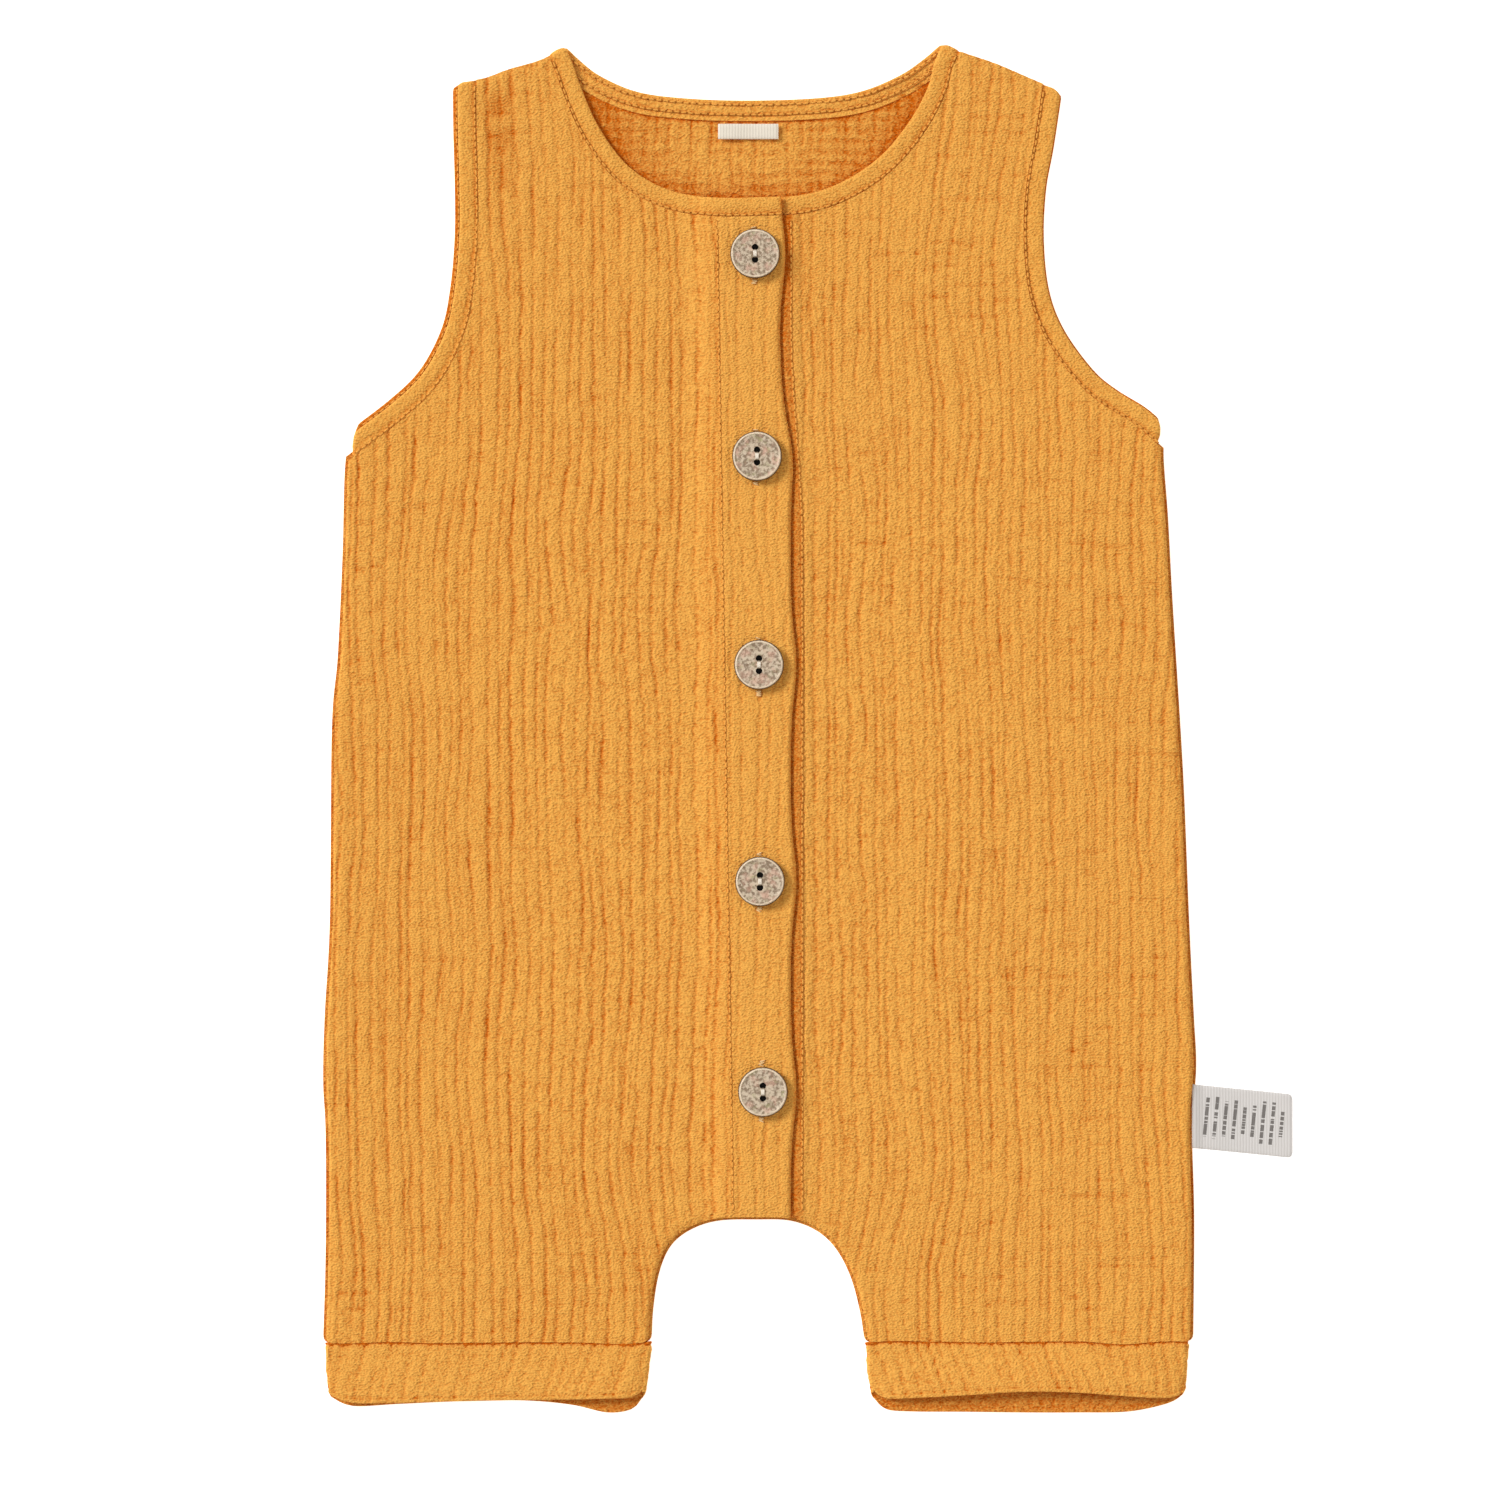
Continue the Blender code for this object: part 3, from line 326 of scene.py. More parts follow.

# The main creases: where each starts and ends, and how deep it is.
Crease = namedtuple("Crease", "top_x top_y low_x low_y depth")
MAIN_CREASES = rows_of(Crease, (
    # short ones where the shoulders turn over, and the long one below
    (-82.8, 200, -82.8, 194, 0.9), (-75.8, 203, -75.2, 191, 1.1), (-75.2, 196, -74.4, 150, 0.6),
    (-69.0, 205, -69.2, 197, 0.6), (-68.4, 172, -68.8, 146, 0.5), (-60.4, 166, -60.8, 134, 0.5),
    (78.6, 203, 76.6, 193, 0.6), (86.2, 199, 84.8, 186, 0.5), (69.8, 206, 68.0, 196, 0.4),
    # the right front's chest
    (-73.5, 169, -73.8, 124, 0.40), (-71.5, 117, -73.0, 96, 0.40), (-75.0, 76, -74.6, 50, 0.42),
    (-73.4, 53, -74.0, 23, 0.48), (-68.6, 51, -68.2, 20, 0.40), (-65.5, 116, -67.0, 87, 0.34),
    (-49.5, 166, -50.0, 137, 0.36), (-44.0, 169, -43.4, 146, 0.36), (-54.4, 186, -54.2, 161, 0.36),
    (-49.4, 63, -50.2, 37, 0.50), (-58.4, 89, -59.4, 60, 0.34), (-60.6, 43, -61.4, 20, 0.30),
    (-38.6, 89, -38.9, 66, 0.36), (-39.2, 120, -40.2, 100, 0.32), (-26.6, 117, -26.8, 100, 0.30),
    (-97.0, 101, -98.0, 78, 0.44), (-100.4, 68, -101.2, 42, 0.36), (-114.4, 43, -115.0, 11, 0.36),
    (-112.0, 83, -114.0, 62, 0.44), (-78.6, 129, -79.0, 97, 0.30), (-104.4, 90, -107.0, 66, 0.36),
    (-82.6, 166, -81.6, 150, 0.30),
    # its tummy and leg
    (-81.8, -14, -82.2, -65, 0.46), (-82.6, -76, -83.4, -130, 0.56), (-77.6, -48, -76.2, -84, 0.44),
    (-75.6, -88, -74.6, -103, 0.36), (-69.8, -21, -69.4, -44, 0.52), (-48.4, 6, -46.4, -32, 0.52),
    (-54.4, -15, -53.6, -65, 0.42), (-52.4, -64, -50.0, -109, 0.42), (-44.6, -49, -42.4, -87, 0.42),
    (-41.6, -88, -41.0, -130, 0.54), (-38.6, -73, -38.0, -112, 0.40),
    (-36.8, -110, -34.8, -146, 0.46), (-32.8, -6, -33.2, -43, 0.50), (-31.6, -44, -30.8, -75, 0.42),
    (-27.8, -70, -27.2, -97, 0.34), (-20.8, -36, -20.4, -57, 0.36), (-95.4, -64, -96.2, -91, 0.52),
    (-102.2, 3, -102.6, -22, 0.40), (-106.0, -21, -106.6, -49, 0.40),
    (-104.2, -104, -104.8, -124, 0.40), (-99.9, -120, -98.2, -146, 0.42),
    (-94.0, -120, -93.4, -139, 0.40), (-71.0, -121, -72.0, -146, 0.42),
    (-75.9, 3, -75.5, -20, 0.36), (-109.4, -6, -110.0, -44, 0.36),
    (-116.4, -60, -114.4, -118, 0.40), (-60.2, -118, -55.0, -160, 0.32),
    (-46.2, -130, -41.0, -170, 0.34),
    # along its inner leg
    (-39.6, -126, -37.0, -150, 0.70), (-37.2, -146, -33.9, -185, 0.95),
    # the left front's chest
    (75.3, 78, 75.3, 31, 0.54), (74.3, 32, 73.4, 14, 0.44), (57.8, 60, 56.8, 8, 0.52),
    (26.7, 61, 26.5, 39, 0.50), (22.0, 40, 21.6, 26, 0.40), (44.6, 107, 43.6, 76, 0.38),
    (39.4, 71, 39.2, 50, 0.38), (91.6, 47, 90.6, 23, 0.36), (104.4, 95, 105.4, 66, 0.38),
    (94.6, 92, 95.0, 82, 0.34), (47.8, 134, 47.4, 112, 0.34), (59.4, 92, 58.8, 79, 0.34),
    (40.0, 40, 39.6, 20, 0.34), (18.9, 126, 18.5, 106, 0.30), (67.8, 28, 67.6, 11, 0.36),
    (34.6, 148, 35.2, 118, 0.30), (104.2, 43, 103.2, 20, 0.36), (113.4, 40, 112.2, 23, 0.34),
    (66.0, 190, 58.0, 160, 0.30), (77.6, 182, 72.0, 158, 0.28),
    # its tummy and leg
    (70.8, 0, 75.4, -59, 0.52), (75.5, -56, 77.2, -86, 0.60), (78.0, -80, 79.4, -131, 0.46),
    (80.4, -57, 80.6, -75, 0.46), (81.0, -125, 81.4, -159, 0.52), (54.2, -60, 54.6, -131, 0.52),
    (60.6, -65, 60.8, -87, 0.44), (102.6, -20, 103.4, -50, 0.52), (102.4, -97, 101.8, -128, 0.42),
    (91.4, 7, 91.2, -29, 0.40), (116.8, -8, 114.6, -45, 0.40), (32.2, -48, 33.2, -85, 0.52),
    (21.6, -27, 22.2, -51, 0.42), (19.9, -64, 19.9, -79, 0.34), (40.2, -8, 40.4, -54, 0.38),
    (40.4, -88, 40.4, -131, 0.42), (46.0, -146, 43.6, -171, 0.42), (52.5, -110, 52.6, -125, 0.42),
    (53.0, -156, 52.0, -174, 0.40), (90.6, -88, 90.2, -112, 0.46), (26.2, 6, 26.0, -29, 0.36),
    (64.8, -110, 64.6, -128, 0.40), (99.2, -110, 99.4, -140, 0.40), (31.0, -128, 31.0, -140, 0.36),
))


# ---- Lines on the flat ----

def length_of(a, b):
    """The distance between two points on the flat."""
    return hypot(b[0] - a[0], b[1] - a[1])


def along(a, b, share):
    """The point a share of the way from a to b."""
    return Point(a[0] + (b[0] - a[0]) * share, a[1] + (b[1] - a[1]) * share)


def smooth_line(points):
    """A rounded line through the points, with one about every LINE_STEP."""
    line = []
    for i in range(len(points) - 1):
        before = points[max(i - 1, 0)]
        start, end = points[i], points[i + 1]
        after = points[min(i + 2, len(points) - 1)]
        pieces = max(1, round(length_of(start, end) / LINE_STEP))
        for k in range(pieces):
            t = k / pieces
            weights = (
                -0.5 * t + t * t - 0.5 * t ** 3,
                1 - 2.5 * t * t + 1.5 * t ** 3,
                0.5 * t + 2 * t * t - 1.5 * t ** 3,
                -0.5 * t * t + 0.5 * t ** 3,
            )
            around = (before, start, end, after)
            x = sum(weight * point[0] for weight, point in zip(weights, around))
            y = sum(weight * point[1] for weight, point in zip(weights, around))
            line.append(Point(x, y))
    line.append(Point(*points[-1]))
    return line


def shifted(line, distance):
    """The line moved to its left hand by a distance."""
    moved = []
    for i, point in enumerate(line):
        before = line[max(i - 1, 0)]
        after = line[min(i + 1, len(line) - 1)]
        run = length_of(before, after)
        across = ((before[1] - after[1]) / run, (after[0] - before[0]) / run)
        moved.append(Point(point[0] + across[0] * distance, point[1] + across[1] * distance))
    return moved


def run_on(line):
    """The line with both its ends run straight on."""
    first = along(line[1], line[0], 1 + RUN_ON / length_of(line[1], line[0]))
    last = along(line[-2], line[-1], 1 + RUN_ON / length_of(line[-2], line[-1]))
    return [first, *line, last]


def crossings(line, cut):
    """Where a line meets a cut, as places counted in the line's own points."""
    c = np.array(cut)
    reach = c[1:] - c[:-1]
    places = []
    for i in range(len(line) - 1):
        a, b = np.array(line[i]), np.array(line[i + 1])
        step = b - a
        turn = step[0] * reach[:, 1] - step[1] * reach[:, 0]
        turn = np.where(np.abs(turn) < 1e-9, np.nan, turn)
        gap = c[:-1] - a
        on_line = (gap[:, 0] * reach[:, 1] - gap[:, 1] * reach[:, 0]) / turn
        on_cut = (gap[:, 0] * step[1] - gap[:, 1] * step[0]) / turn
        met = (on_line >= 0) & (on_line <= 1) & (on_cut >= 0) & (on_cut <= 1)
        places += [i + share for share in on_line[met]]
    return places


def between(line, start_cut, end_cut):
    """The part of a line from where one neighbour cuts it to where the next one does."""
    line = run_on(line)
    first_end, last_end = 1, len(line) - 2
    start = min(crossings(line, run_on(start_cut)), key=lambda place: abs(place - first_end))
    end = min(crossings(line, run_on(end_cut)), key=lambda place: abs(place - last_end))
    kept = [line[i] for i in range(len(line)) if start + CORNER < i < end - CORNER]
    first = along(line[int(start)], line[int(start) + 1], start % 1)
    last = along(line[int(end)], line[int(end) + 1], end % 1)
    return [first, *kept, last]


def outline(edges):
    """The closed outline of a pattern piece whose edges follow each other."""
    points = []
    for i, edge in enumerate(edges):
        points += between(edge, edges[i - 1], edges[(i + 1) % len(edges)])[:-1]
    return points


def hem_corners(line):
    """The places in a closed outline where it turns sharply at a hem."""
    found = []
    for i, point in enumerate(line):
        before, after = line[i - 1], line[(i + 1) % len(line)]
        turn = (point.x - before.x) * (after.y - point.y) - (point.y - before.y) * (after.x - point.x)
        sharp = turn / (length_of(before, point) * length_of(point, after) + 1e-9)
        if point.y < HEM_LEVEL + HEM_CORNER and sharp > 0.5:
            found.append(i)
    return found


def soft_hems(line):
    """The closed outline with its corners at the hems rounded off."""
    corners = hem_corners(line)
    rounded_off = []
    for i, point in enumerate(line):
        if i in corners:
            earlier = (line[i - k] for k in range(1, len(line)))
            later = (line[(i + k) % len(line)] for k in range(1, len(line)))
            before = next(place for place in earlier if length_of(place, point) > HEM_REACH)
            after = next(place for place in later if length_of(place, point) > HEM_REACH)
            start = along(point, before, HEM_REACH / length_of(point, before))
            end = along(point, after, HEM_REACH / length_of(point, after))
            for k in range(HEM_STEPS + 1):
                share = k / HEM_STEPS
                rounded_off.append(along(along(start, point, share), along(point, end, share), share))
        elif all(length_of(point, line[corner]) > HEM_REACH for corner in corners):
            rounded_off.append(point)
    return rounded_off


def measured(line):
    """The x and the y of a line's points, and how far along the line they are."""
    x, y = np.array(line).T
    return x, y, np.concatenate(([0.0], np.cumsum(np.hypot(np.diff(x), np.diff(y)))))


def spaced(line, count):
    """A number of points at even distances along a line."""
    x, y, lengths = measured(line)
    wanted = np.linspace(0.0, lengths[-1], count)
    return [Point(*place) for place in zip(np.interp(wanted, lengths, x), np.interp(wanted, lengths, y))]


def beside(x, y, line):
    """How far each place is from a line."""
    least = np.full(np.shape(x), np.inf)
    for a, b in zip(line, line[1:]):
        step_x, step_y = b[0] - a[0], b[1] - a[1]
        length = hypot(step_x, step_y)
        t = np.clip(((x - a[0]) * step_x + (y - a[1]) * step_y) / length ** 2, 0.0, 1.0)
        least = np.minimum(least, np.hypot(x - a[0] - t * step_x, y - a[1] - t * step_y))
    return least


# ---- Heights of the cloth ----

LATTICE_SIZE = 256
LATTICE = np.random.default_rng(1962).uniform(-1.0, 1.0, (LATTICE_SIZE, LATTICE_SIZE))


def noise(x, y):
    """Soft random hills from -1 to 1, one for each unit of x and y.

    A number that is added to x or y only picks another stretch of the hills."""
    x, y = np.broadcast_arrays(x, y)
    column, row = np.floor(x).astype(int), np.floor(y).astype(int)
    u, v = x - column, y - row
    u, v = u * u * (3 - 2 * u), v * v * (3 - 2 * v)
    left, right = column % LATTICE_SIZE, (column + 1) % LATTICE_SIZE
    low, high = row % LATTICE_SIZE, (row + 1) % LATTICE_SIZE
    below = LATTICE[left, low] * (1 - u) + LATTICE[right, low] * u
    above = LATTICE[left, high] * (1 - u) + LATTICE[right, high] * u
    return below * (1 - v) + above * v


def eased(value, start, end):
    """0 before start, 1 past end and a soft slope from one to the other."""
    t = np.clip((value - start) / (end - start), 0.0, 1.0)
    return t * t * (3 - 2 * t)


def edge_lean(y):
    """Where the right front's free edge would be without its swells, at a level."""
    return EDGE_TOP + (EDGE_LOW - EDGE_TOP) * eased(y, *EDGE_LEAN)


def left_row_place(y):
    """Where the left front's band is stitched down, just right of the right front's free edge."""
    return edge_lean(y) + LEFT_ROW_MARGIN


def even_wave(place, pitch):
    """1 on the crests of an even wave and 0 in its troughs."""
    return 0.5 + 0.5 * np.cos(2 * pi * place / pitch)


def front_floor(x, y):
    """The height of a front's inside where it lies on the back."""
    tummy = eased(np.abs(x), *LOFT_ACROSS) * eased(y, *LOFT_AT_SEAT) * eased(y, *LOFT_AT_CHEST)
    return FRONT_REST + LOFT * tummy


def stitch_place(y):
    """Where the right front's band is stitched down, at a level."""
    return STITCH_TOP + (STITCH_BOTTOM - STITCH_TOP) * (BAND_TOP - y) / (BAND_TOP - BAND_BOTTOM)


def free_edge(y):
    """Where the right front's free edge is, at a level."""
    swells = sum(np.exp(-((y - button.y) / SWELL_LENGTH) ** 2) for button in BUTTONS)
    return edge_lean(y) + EDGE_SWELL * swells


def lap_floor(x, y):
    """The height of the right front's inside, which climbs onto the left front's band."""
    stitch = stitch_place(y)
    climb = eased(x, stitch - LAP_SLOPE, stitch + LAP_LANDING)
    return front_floor(x, y) + (BAND_WALL + SEAM_GAP) * climb


def hem_wave(x):
    """The small waves of the seam between leg and cuff."""
    return HEM_WAVE * noise(x / HEM_WAVE_LENGTH, 3.5)


def leaned(x, y):
    """X as the creases count it, which leans where they do."""
    across = x
    for spot in LEANS:
        near = np.exp(-((x - spot.x) / spot.across) ** 2 - ((y - spot.y) / spot.along) ** 2)
        across = across - spot.slope * (y - spot.y) * near
    return across


def drifted(x, y, drift, seed):
    """How far creases drift together at a place."""
    reach, across, along_it = drift
    return reach * noise(x / across + seed, y / along_it)


def swayed(place, sway, seed):
    """A soft change along a crease: how far it reaches at a place. The seed picks the crease."""
    reach, length = sway
    return reach * noise(seed, place / length)


def upright_creases(x, y, seed, pitch=CREASE_PITCH["right"]):
    """The depth of the crinkle's upright creases, which crowd, wander, kink, fork and fade."""
    drift = drifted(x, y, BROAD_DRIFT, seed) + drifted(x, y, FINE_DRIFT, 3)
    across = leaned(x, y) + drift
    first = np.floor(across / pitch).astype(int)
    depth = np.zeros(np.shape(x))
    for step in (-1, 0, 1, 2):
        number = first + step + seed
        own = pitch * (first + step + CREASE_OWN * noise(number, seed + 0.5))
        sway = CREASE_WANDER * noise(number, y / CREASE_SWAY + 31)
        kinks = noise(number + 0.5, y / KINK_LENGTH)
        kinks = kinks + SLOW_KINKS * noise(number + 0.5, y / 4 / KINK_LENGTH)
        gap = np.abs(across - own - sway - CREASE_KINK * kinks)
        strength = CREASE_STRENGTH + CREASE_FADE * noise(number + 97, y / CREASE_LENGTH)
        strength = strength + CREASE_SPREAD * noise(number + 0.3, 55.5)
        strength = strength + CREASE_BEADS * noise(number + 61, y / BEAD_LENGTH)
        core = CORE_SHARE * np.exp(-(gap / CREASE_CORE) ** 1.6)
        sides = SIDES_SHARE * np.exp(-(gap / CREASE_SIDES) ** 2)
        lip = CREASE_LIP * np.exp(-((gap - LIP_PLACE[0]) / LIP_PLACE[1]) ** 2)
        depth += np.clip(strength, *STRENGTH_RANGE) * (CREASE_DEPTH * (core + sides) - lip)
        fork = own + pitch * (0.5 + FORK_OWN * noise(number, 3.5)) + swayed(y, FORK_SWAY, number + 140)
        forked = FORK_STRENGTH[0] + FORK_STRENGTH[1] * noise(number + 147, y / CREASE_LENGTH)
        forked = np.clip(forked, 0.0, 1.0)
        fork_gap = across - fork - CREASE_KINK * kinks
        depth += FORK_DEPTH * forked * np.exp(-(fork_gap / FORK_WIDTH) ** 2)
    return depth


def gathered(x, y, patches):
    """The gain that some patches give at a place."""
    gain = np.zeros(np.shape(x))
    for patch in patches:
        reach = ((x - patch.x) / patch.across) ** 2 + ((y - patch.y) / patch.along) ** 2
        gain += patch.gain * np.exp(-reach)
    return gain


def pinches(x, y, seed):
    """The depth of the short pinches that cross the ribs."""
    first = np.floor(y / PINCH_PITCH).astype(int)
    rib = x / CREASE_PITCH["right"]
    depth = np.zeros(np.shape(x))
    for step in (-1, 0, 1, 2):
        number = first + step + seed
        own = PINCH_OWN * noise(number, seed + 7.5)
        place = PINCH_PITCH * (first + step + own) + PINCH_SWAY[0] * noise(x / PINCH_SWAY[1], number)
        place = place + PINCH_KINK[0] * noise(rib * PINCH_KINK[1], number + 11)
        strength = np.clip(PINCH_USUAL + noise(x / PINCH_LENGTH + seed, number + 50), 0.0, 1.0)
        depth += strength * np.exp(-(np.abs(y - place) / PINCH_WIDTH) ** 2)
    return PINCH_DEPTH * depth * (PINCH_BASE + gathered(x, y, PINCH_PATCHES))


def main_creases(x, y):
    """The depth of the main creases, each a soft trough that is deepest in its middle."""
    depth = np.zeros(np.shape(x))
    for number, crease in enumerate(MAIN_CREASES):
        down = (crease.top_y - y) / (crease.top_y - crease.low_y)
        place = crease.top_x + (crease.low_x - crease.top_x) * down
        place = place + swayed(y, MAIN_SWAY, number + 0.5)
        fade = eased(down, *MAIN_START) * eased(down, *MAIN_END)
        width = MAIN_WIDTH * (1.0 + swayed(y, MAIN_UNEVEN, number + 0.5))
        depth += crease.depth * fade * np.exp(-(np.abs(x - place) / width) ** 2)
    return MAIN_SHARE * depth


def drag_lines(x, y):
    """The depth of the fine lines that slant across the ribs."""
    depth = np.zeros(np.shape(x))
    for number, drag in enumerate(DRAGS):
        share = (x - drag.low_x) / (drag.high_x - drag.low_x)
        place = drag.low_y + (drag.high_y - drag.low_y) * share
        place = place + DRAG_SWAY[0] * noise(x / DRAG_SWAY[1], number + 0.5)
        fade = eased(share, *DRAG_START) * eased(share, *DRAG_END)
        depth += drag.depth * fade * np.exp(-(np.abs(y - place) / DRAG_WIDTH) ** 2)
    return depth


def dips(x, y):
    """The depth of the soft dips."""
    depth = np.zeros(np.shape(x))
    for dip in DIPS:
        depth += dip.gain * np.exp(-((x - dip.x) / dip.across) ** 4 - ((y - dip.y) / dip.along) ** 4)
    return depth


def bumps(x, y, size, height, seed):
    """Soft dips of a size and depth, with a crest between them."""
    return height * (0.5 + 0.5 * noise(x / size[0] + seed, y / size[1] + seed))


def crinkle(x, y, seed, pinched, pitch):
    """The depth of all that lies below the crests of the crinkle."""
    pads = bumps(x, y, PAD_SIZE, PAD_HEIGHT, seed)
    puffs = bumps(x, y, PUFF_SIZE, PUFF_HEIGHT, seed)
    lumps = bumps(x, y, LUMP_SIZE, LUMP_HEIGHT, seed)
    upright = upright_creases(x, y, seed, pitch) * (1 - gathered(x, y, CALM_PATCHES))
    return upright + pinched * pinches(x, y, seed) + pads + puffs + lumps


def rounded(gap, reach=EDGE_ROUND, base=EDGE_BASE):
    """The share of a wall's height that is there at a distance from its edge."""
    return 1 - (1 - base) * np.clip(1 - gap / reach, 0.0, 1.0) ** 2


def furrow(gap, run):
    """The depth of the furrow along a row of stitches, with its small puckers."""
    pulled = GROOVE_DEPTH * np.exp(-(gap / GROOVE_WIDTH) ** 2)
    puckers = PUCKER_DEPTH * even_wave(run, STITCH_PITCH) * np.exp(-gap / PUCKER_REACH)
    return pulled + puckers


# ---- Meshes ----

def new_object(name, points, faces):
    """A mesh object from points in millimetres."""
    mesh = bpy.data.meshes.new(name)
    mesh.from_pydata((np.asarray(points) * MM).tolist(), [], faces)
    piece = bpy.data.objects.new(name, mesh)
    bpy.context.scene.collection.objects.link(piece)
    return piece


def surface(xs, ys, height):
    """A grid of points with a row for each y."""
    x, y = np.meshgrid(xs, ys)
    return np.dstack((x, y, height(x, y)))


def numbered(points, first):
    """The numbers of a grid's points, counted from the first."""
    rows, columns = points.shape[:2]
    return np.arange(rows * columns).reshape(rows, columns) + first


def quads(numbers):
    """The faces between the points of a grid, seen from the side where it runs leftward round."""
    corners = (numbers[:-1, :-1], numbers[:-1, 1:], numbers[1:, 1:], numbers[1:, :-1])
    return np.dstack(corners).reshape(-1, 4).tolist()


def block(name, upper, lower):
    """A closed block of uncut cloth between two grids of points that end at the same edges."""
    top = numbered(upper, 0)
    base = numbered(lower, top.size)
    faces = quads(top) + [face[::-1] for face in quads(base)]
    faces.append([*base[0], *top[0][::-1]])
    faces.append([*top[-1], *base[-1][::-1]])
    faces.append([*base[:, -1], *top[::-1, -1]])
    faces.append([*top[:, 0], *base[::-1, 0]])
    points = np.vstack((upper.reshape(-1, 3), lower.reshape(-1, 3)))
    return new_object(name, points, [[int(i) for i in face] for face in faces])


def prism(name, line, bottom, top):
    """An outline drawn up into a flat solid."""
    count = len(line)
    points = [(*point, bottom) for point in line] + [(*point, top) for point in line]
    faces = [list(range(count))[::-1], [count + i for i in range(count)]]
    faces += [[i, (i + 1) % count, count + (i + 1) % count, count + i] for i in range(count)]
    return new_object(name, points, faces)


def carved(piece, cutter, operation):
    """Cut a piece with a cutter, and keep it as plain mesh."""
    modifier = piece.modifiers.new("cut", "BOOLEAN")
    modifier.operation = operation
    modifier.solver = "MANIFOLD"
    modifier.object = cutter
    view = bpy.context.evaluated_depsgraph_get()
    mesh = bpy.data.meshes.new_from_object(piece.evaluated_get(view))
    piece.modifiers.clear()
    piece.data = mesh
    bpy.data.objects.remove(cutter)


def finished(piece, material, node=None, sharp=1.0):
    """Shade a piece, give it its material and tie it to the frame."""
    piece.data.materials.clear()
    piece.data.materials.append(material)
    piece.data.shade_smooth()
    piece.data.set_sharp_from_angle(angle=sharp)
    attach(piece, "root")
    if node:
        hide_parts(node)
    return piece


def points_of(piece):
    """A piece's points in millimetres, as columns."""
    points = np.zeros(len(piece.data.vertices) * 3, np.float32)
    piece.data.vertices.foreach_get("co", points)
    return points.reshape(-1, 3).T.astype(float) / MM


def mark(piece, name, values):
    """Keep a value for each point of a piece, which its material reads."""
    attribute = piece.data.attributes.new(name, "FLOAT", "POINT")
    attribute.data.foreach_set("value", np.asarray(values, np.float32))


def deepen_painted_shade(piece, values):
    """Add painted shade to a piece: its colour becomes at least as deep as the values."""
    attribute = piece.data.attributes["trough"]
    kept = np.zeros(len(piece.data.vertices), np.float32)
    attribute.data.foreach_get("value", kept)
    attribute.data.foreach_set("value", np.maximum(kept, values).astype(np.float32))


# ---- Fronts and back ----

def stops(start, end, step):
    """Even places from start to end, about a step apart."""
    return np.linspace(start, end, ceil((end - start) / step) + 1)


def graded(reach, window, fine, coarse):
    """Places along a reach that are close together only inside a window."""
    before = stops(reach[0], window[0], coarse)
    after = stops(window[1], reach[1], coarse)
    return np.concatenate((before[:-1], stops(*window, fine), after[1:]))


def cloth_levels():
    """The lowest and highest level of the uncut cloth."""
    return HEM_LEVEL - CLOTH_MARGIN, FRONT_NECK[0].y + CLOTH_MARGIN


def painted_shade_at(depth):
    """How deep the painted shade is at a depth of the relief, from 0 to 1."""
    return np.clip(depth / PAINTED_SHADE_DEPTH, 0.0, 1.0) ** PAINTED_SHADE_BEND


def left_band(x, y):
    """1 on the part of the left front's band that shows beside the free edge, 0 off it."""
    place = left_row_place(y)
    return eased(x, place + LEFT_BAND_FADE[0], place + LEFT_BAND_FADE[1])


FRONT_SEED = {"right": 3, "left": 40}
FRONT_PINCHED = {"right": 0.8, "left": 1.2}     # how strongly a front is pinched
FRONT_CRINKLED = {"right": 1.0, "left": 0.88}   # and how strong its crinkle is in all


def front_relief(x, y, side, sewing=1.0):
    """How deep the crinkle, the main creases and the stitches lie on a front.

    sewing is the share of the stitches' furrows that counts."""
    crinkled = crinkle(x, y, FRONT_SEED[side], FRONT_PINCHED[side], CREASE_PITCH[side])
    depth = FRONT_CRINKLED[side] * crinkled + main_creases(x, y)
    depth = depth + drag_lines(x, y) + dips(x, y)
    if side == "right":
        stitch = stitch_place(y)
        band = eased(x, stitch + BAND_CALM[0], stitch + BAND_CALM[1])
        depth = depth * (1 + (BAND_PRESS - 1) * band)
        depth = depth + sewing * furrow(np.abs(x - stitch), y)
    else:
        band = left_band(x, y)
        from_edge = x - free_edge(y)
        puff = eased(from_edge, *PUFF_RISE) * eased(x - left_row_place(y), *PUFF_FALL)
        depth = depth * (1 - LEFT_BAND_PRESS * band) - LEFT_BAND_PUFF * puff
        depth = depth + sewing * furrow(np.abs(x - left_row_place(y)), y)
    return depth


def front_painted_shade(x, y, side):
    """The painted shade of a front: deepest in its troughs, and on the left band as a painted shadow of
    the right front's free edge.
    """
    tint = painted_shade_at(front_relief(x, y, side, FURROW_PAINTED_SHADE))
    if side == "left":
        # painted shade beside the left band's stitches, more toward the neck, and the painted shadow of
        # the free edge on the band
        near = np.exp(-np.clip(x - left_row_place(y), 0.0, None) / LAP_SHADE_REACH)
        strength = LAP_SHADE[0] + LAP_SHADE[1] * eased(y, *LAP_SHADE_RISE)
        from_lap = (x - free_edge(y)) / LEFT_ROW_MARGIN
        band_painted_shadow = LEFT_BAND_PAINTED_SHADOW * (1 - LEFT_BAND_FALL * np.clip(from_lap, 0.0, 1.0))
        tint = np.maximum(tint, band_painted_shadow * left_band(x, y)) + strength * near
    return np.clip(tint, 0.0, 1.0)


def nearest(x, y, edges):
    """How far each place is from the nearest of some lines."""
    return np.minimum.reduce([beside(x, y, edge) for edge in edges])


